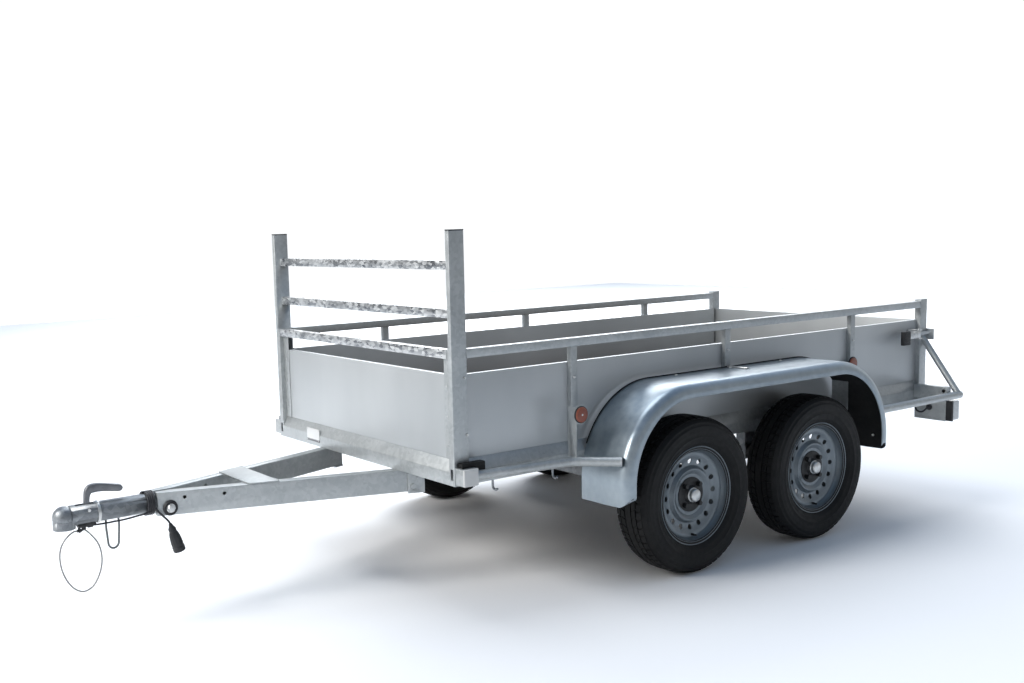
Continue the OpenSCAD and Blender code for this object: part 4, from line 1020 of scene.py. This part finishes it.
def swept_shell(section, s):
    bm = bmesh.new()
    rings = [[bm.verts.new(p) for p in ring] for ring in fender_rings(section, s)]
    count = len(section)
    for low, high in zip(rings, rings[1:]):
        for k in range(count):
            n = (k + 1) % count
            bm.faces.new((low[k], low[n], high[n], high[k]))
    ends = [bm.faces.new(rings[0]), bm.faces.new(rings[-1])]
    bmesh.ops.triangulate(bm, faces=ends)
    bmesh.ops.recalc_face_normals(bm, faces=bm.faces)
    return bm


# Black underseal inside the fenders; its black is also painted shade, darkening the hollow under the sheet
# where shade falls.
underseal_and_painted_shade = Finish("black_underseal_and_painted_shade", Specular_IOR_Level=0.3)
underseal_and_painted_shade.feed(Base_Color=underseal_and_painted_shade.between(underseal_and_painted_shade.noise(12.0, 5),
                                            (0.006, 0.007, 0.008), (0.030, 0.030, 0.030)),
               Roughness=0.6 + 0.3 * underseal_and_painted_shade.noise(80.0))
underseal_and_painted_shade.bump(underseal_and_painted_shade.noise(220.0, 4), 0.0012, 0.7)
seal_r = round_edge - skin - seal_gap
seal_face = [(w, skin + seal_gap) for w in (0.0010, 0.060, 0.120)]
seal_face += [(fender_reach - round_edge + seal_r * math.sin(a), round_edge - seal_r * math.cos(a))
              for a in [math.radians(15 * k) for k in range(7)]]
seal_back = [(w - 0.0008 * (w > 0.2), d + 0.0010) for w, d in reversed(seal_face)]


piece("shaped_stay_tubes", rounded("stay_tubes", 0.0), zinc, ROOT, "zinc", "stay_tubes", sharp=40)
piece("shaped_corner_stubs", rounded("corner_stubs", 0.004), zinc, ROOT, "zinc", "corner_stubs")
for s in both:
    side = "left" if s > 0 else "right"
    piece("fender_" + side + "_sheet", swept_shell(fender_section(), s), fender_zinc_painted_sky,
          ROOT, "fender_steel", "fender_" + side, sharp=40)
    piece("fender_underseal_" + side, swept_shell(seal_face + seal_back, s), underseal_and_painted_shade,
          ROOT, "plastic_black", sharp=40)
    strip = [Vector(ring[0]) for ring in fender_rings([(0.0022, -0.0022)], s, False)]
    piece("fender_seal_" + side, tube_along([p for p in strip if p.z > 0.50], 0.0022, 10), rubber,
          ROOT, "tyre_rubber")
    piece("fender_gusset_" + side, side_block(
        s, (front - 1.985, half_w + 0.001, 0.420), (front - 1.982, half_w + 0.080, 0.588)),
          zinc, ROOT, "zinc")
    piece("fender_strap_" + side, side_block(
        s, (front - 1.336, half_w + 0.002, 0.7055), (front - 1.316, half_w + 0.095, 0.7105)),
          bright_zinc, ROOT, "zinc_bright")
    inner_rear = front - 1.735 - fender_r + skin
    rivets = [(inner_rear + 0.001, s * (half_w + w), z) for w in (0.040, 0.150) for z in (0.360, 0.440)]
    fixings("fender_bolts_rear_" + side, rivets, (1, 0, 0), 0.006, 0.005, bright_zinc,
            "zinc_bright", sides=12, top=0.8)
    top_bolts = [(fender_front - 0.12 - 0.30 * k, s * (half_w + 0.030), fender_z + fender_r + 0.0015)
                 for k in range(3)]
    fixings("fender_bolts_top_" + side, top_bolts, (0, 0, 1), 0.006, 0.004, bright_zinc, "zinc_bright",
            sides=12, top=0.7)

# ------------------------------------------------------------------ reflectors
# Round amber reflectors in black backs, on a bracket ahead of the fender and
# on the rear small post. The lens is pressed with small prisms.
amber = Finish("amber_reflector", Coat_Weight=0.6, Coat_Roughness=0.06)
prism = amber.node("ShaderNodeTexVoronoi", {"feature": "F1"}, {
    "Vector": amber.place(), "Scale": 420.0, "Randomness": 0.0})
amber.feed(Base_Color=amber.between(amber.ramp(prism, 0.1, 0.6),
                                    (0.10, 0.016, 0.006), (0.30, 0.055, 0.014)),
           Roughness=0.25 + 0.2 * amber.noise(40.0))
amber.bump(prism, 0.0012, 0.9)
shapes, backs = [], []
for s in both:
    for x, y, z in ((-0.468, half_w + 0.095, 0.630), (-2.125, half_w, 0.644)):
        place = Matrix.Translation((front + x, s * y, z)) @ Matrix.Rotation(-s * math.pi / 2, 4, "X")
        backs.append(moved(lathe([(0.0001, 0.0), (0.0300, 0.0), (0.0300, 0.0030), (0.0290, 0.0042),
                                  (0.0268, 0.0042), (0.0266, 0.0030), (0.0001, 0.0030)], 56), place))
        shapes.append(moved(lathe([(0.0001, 0.0031), (0.0264, 0.0031), (0.0264, 0.0060), (0.0250, 0.0074),
                                   (0.0180, 0.0086), (0.0060, 0.0090), (0.0001, 0.0090)], 56), place))
piece("reflector_lenses", joined(*shapes), amber, ROOT, "reflector_amber", "side_reflectors", sharp=50)
piece("reflector_backs", joined(*backs), black_plastic, ROOT, "plastic_black", sharp=50)
for s in both:
    fixings("reflector_screws_" + ("left" if s > 0 else "right"),
            [(front - 0.468, s * (half_w + 0.1040), 0.630)], (0, s, 0), 0.0035, 0.0016,
            bright_zinc, "zinc_bright", sides=16, top=0.6)

# ------------------------------------------------------------------ stub ends
# Pale moulded caps close the ends of the corner stubs, and black rubber pads lie over
# and behind them against the body; their black also paints the shade in the dark gap there.
pale_plastic = Finish("pale_moulded_plastic", Specular_IOR_Level=0.5)
pale_plastic.feed(
    Base_Color=pale_plastic.between(pale_plastic.noise(20.0, 3), (0.50, 0.50, 0.49), (0.66, 0.66, 0.65)),
    Roughness=0.35 + 0.2 * pale_plastic.noise(90.0))
pale_plastic.bump(pale_plastic.noise(800.0, 2), 0.0002, 0.4)
stub_caps, pads_and_painted_shade = [], []
for s in both:
    stub_caps.append(side_block(s, (front - 0.0610, half_w + 0.0430, 0.4390),
                                (front - 0.0010, half_w + 0.0520, 0.4970), 0.0085, 4))
    # The pads are black rubber and also stand in as painted shade over and behind the stub.
    for low, high in (((-0.1050, 0.4970), (-0.0100, 0.5120)), ((-0.1050, 0.4560), (-0.0620, 0.5000))):
        pads_and_painted_shade.append(side_block(s, (front + low[0], half_w + 0.0010, low[1]),
                               (front + high[0], half_w + 0.0300, high[1]), 0.0030))
piece("stub_end_caps", joined(*stub_caps), pale_plastic, ROOT, "zinc_bright")
piece("stub_pads", joined(*pads_and_painted_shade), rubber, ROOT, "tyre_rubber")

# ------------------------------------------------------------------ tailgate
# A hollow drop gate of the same pale sheet as the boards. Three hinges carry
# it and a folded strap at each end goes round the rear post to the latch.
piece("shaped_tailgate", rounded("tailgate", 0.002, 0.03), board_sheet,
      "gate", "sheet", "tailgate", sharp=40)
piece("hinge_ears_and_pins", rounded("hinge_pins", 0.0008, 0.010), bright_zinc,
      ROOT, "zinc_bright", "hinge_pins")

# Latches: a bright plate and lever on a vertical pin, with a black moulded
# grip over the lever's end. They turn out and back to free the gate.
piece("latch_plates", rounded("latch_bases", 0.0010, 0.010), bright_zinc,
      ROOT, "zinc_bright", "latch_bases")
for s in both:
    side = "left" if s > 0 else "right"
    hinge = Vector((front - 2.585, s * (half_w + 0.021), 0.738))
    half_barrel = [(0.0001, 0.024), (0.0038, 0.024), (0.0040, 0.0235), (0.0040, 0.0165),
                   (0.0074, 0.0165), (0.0080, 0.0155)]
    barrel = moved(lathe([(r, -z) for r, z in half_barrel] + half_barrel[::-1], 32),
                   Matrix.Translation(hinge))
    out, x, z = half_w + 0.021, hinge.x, hinge.z
    lever_plate = side_block(s, (x, out - 0.003, z - 0.016), (x + 0.084, out + 0.007, z + 0.016),
                             0.0018, 3)
    ribs = [side_block(s, (x + 0.014 + 0.013 * k, out + 0.0065, z - 0.013),
                       (x + 0.020 + 0.013 * k, out + 0.0085, z + 0.013), 0.0009) for k in range(5)]
    body = "latch_lever_" + side
    piece("latch_lever_plate_" + side, joined(barrel, lever_plate, *ribs), bright_zinc,
          body, "zinc_bright", "latch_" + side, sharp=40)
    grip = side_block(s, (x + 0.078, out - 0.008, z - 0.043), (x + 0.128, out + 0.012, z + 0.019),
                      0.0040, 4)
    grooves = [side_block(s, (x + 0.082, out + 0.0112, z - 0.037 + 0.010 * k),
                          (x + 0.124, out + 0.0132, z - 0.0315 + 0.010 * k), 0.0009) for k in range(6)]
    piece("latch_grip_" + side, joined(grip, *grooves), black_plastic, body, "plastic_black")

# ------------------------------------------------------------------ lamps
# Tail lamps on plates below bright outriggers, each with a round brace down to
# the rear stay. A base carries a red lens with a clear end; a cable loops in
# front from a grommet up to the outrigger.
piece("shaped_lamp_brackets", rounded("lamp_brackets", 0.0015, 0.03), zinc,
      ROOT, "zinc", "lamp_brackets", sharp=40)
piece("lamp_bases", rounded("tail_lamps", 0.0030, 0.02), black_plastic,
      ROOT, "plastic_black", "tail_lamps")


def lens_finish(name, dark, light):
    finish = Finish(name, Coat_Weight=0.8, Coat_Roughness=0.05, Specular_IOR_Level=0.6)
    ribs_seen = finish.node("ShaderNodeTexWave", {"bands_direction": "Z"}, {
        "Vector": finish.place(), "Scale": 55.0, "Distortion": 0.0})
    finish.feed(Base_Color=finish.between(
        finish.ramp(0.7 * ribs_seen + 0.4 * finish.noise(30.0), 0.2, 0.9), dark, light),
                Roughness=0.16 + 0.15 * finish.noise(60.0))
    finish.bump(ribs_seen, 0.0008, 0.7)
    return finish


red_lens = lens_finish("red_lamp_lens", (0.16, 0.004, 0.004), (0.50, 0.020, 0.016))
clear_lens = lens_finish("clear_lamp_lens", (0.34, 0.36, 0.37), (0.62, 0.64, 0.65))
reds, clears = [], []
for s in both:
    for parts, y_in, y_out in ((reds, 0.630, 0.752), (clears, 0.754, 0.790)):
        parts.append(side_block(s, (front - 2.688, y_in, 0.3530), (front - 2.635, y_out, 0.4390),
                                0.0060, 4))
piece("lamp_lens_red", joined(*reds), red_lens, ROOT, "lens_red", "lamp_lenses")
piece("lamp_lens_clear", joined(*clears), clear_lens, ROOT, "lens_red")
fixings("lamp_screws", [(front - 2.6878, s * y, z) for s in both
                        for y in (0.641, 0.779) for z in (0.366, 0.426)],
        (-1, 0, 0), 0.0036, 0.0016, bright_zinc, "zinc_bright", sides=14, top=0.6)

lamp_route = [(0, 0, 0), (8, 0, 0), (15, -3, -5), (19, -10, -14), (20, -20, -21), (20, -32, -23),
              (20, -44, -19), (20, -53, -9), (20, -57, 5), (20, -58, 28)]
lamp_leads = []
for s in both:
    start = Vector((front - 2.621, s * (half_w + 0.062), 0.405))
    lead_line = smooth_path([start + Vector((0.007 + x / 1000, s * y / 1000, z / 1000))
                             for x, y, z in lamp_route], 4)
    lamp_leads.append(tube_along(lead_line, 0.0040, 16, ups=(0.0, 0.6, 0.8)))
    grommet = lathe([(0.0041, 0.0), (0.0125, 0.0), (0.0140, 0.0015), (0.0140, 0.0040),
                     (0.0120, 0.0058), (0.0075, 0.0070), (0.0055, 0.0120), (0.0041, 0.0120)], 32)
    lamp_leads.append(moved(grommet, Matrix.Rotation(math.pi / 2, 4, "Y"),
                            Matrix.Translation(start + Vector((0.003, 0, 0)))))
piece("lamp_lead_loops", joined(*lamp_leads), sheath, ROOT, "cable_sheath", "lamp_cables", sharp=50)

# ------------------------------------------------------------------ identity plate
# A blank bright plate on the front sill, with a painted shadow along its lower edge.
# Four small rivets hold it.
plate_with_painted_shadow = Finish("identity_plate", Metallic=0.5)
plate_low, plate_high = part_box("id_plate")
# Height up the plate: the bottom 8 to 12 mm is darkened as a painted shadow under the plate.
edge = plate_with_painted_shadow.node("ShaderNodeSeparateXYZ", None, {0: plate_with_painted_shadow.place()}, "Z")
plate_with_painted_shadow.feed(Base_Color=plate_with_painted_shadow.between(
    plate_with_painted_shadow.ramp(edge + 0.002 * plate_with_painted_shadow.noise(60.0), plate_low.z + 0.008, plate_low.z + 0.012),
    (0.16, 0.16, 0.17), (0.70, 0.70, 0.69)), Roughness=0.32 + 0.2 * plate_with_painted_shadow.noise(100.0))
plate_with_painted_shadow.bump(plate_with_painted_shadow.noise(500.0), 0.0002, 0.4)
piece("identity_plate", rounded("id_plate", 0.0006, 0.001), plate_with_painted_shadow, ROOT, "zinc_bright", "id_plate")
fixings("plate_rivets", [(plate_high.x + 0.0004, y, z) for y in (plate_low.y + 0.005, plate_high.y - 0.005)
                         for z in (plate_low.z + 0.005, plate_high.z - 0.005)],
        (1, 0, 0), 0.0024, 0.0012, bright_zinc, "zinc_bright", sides=12, top=0.6)
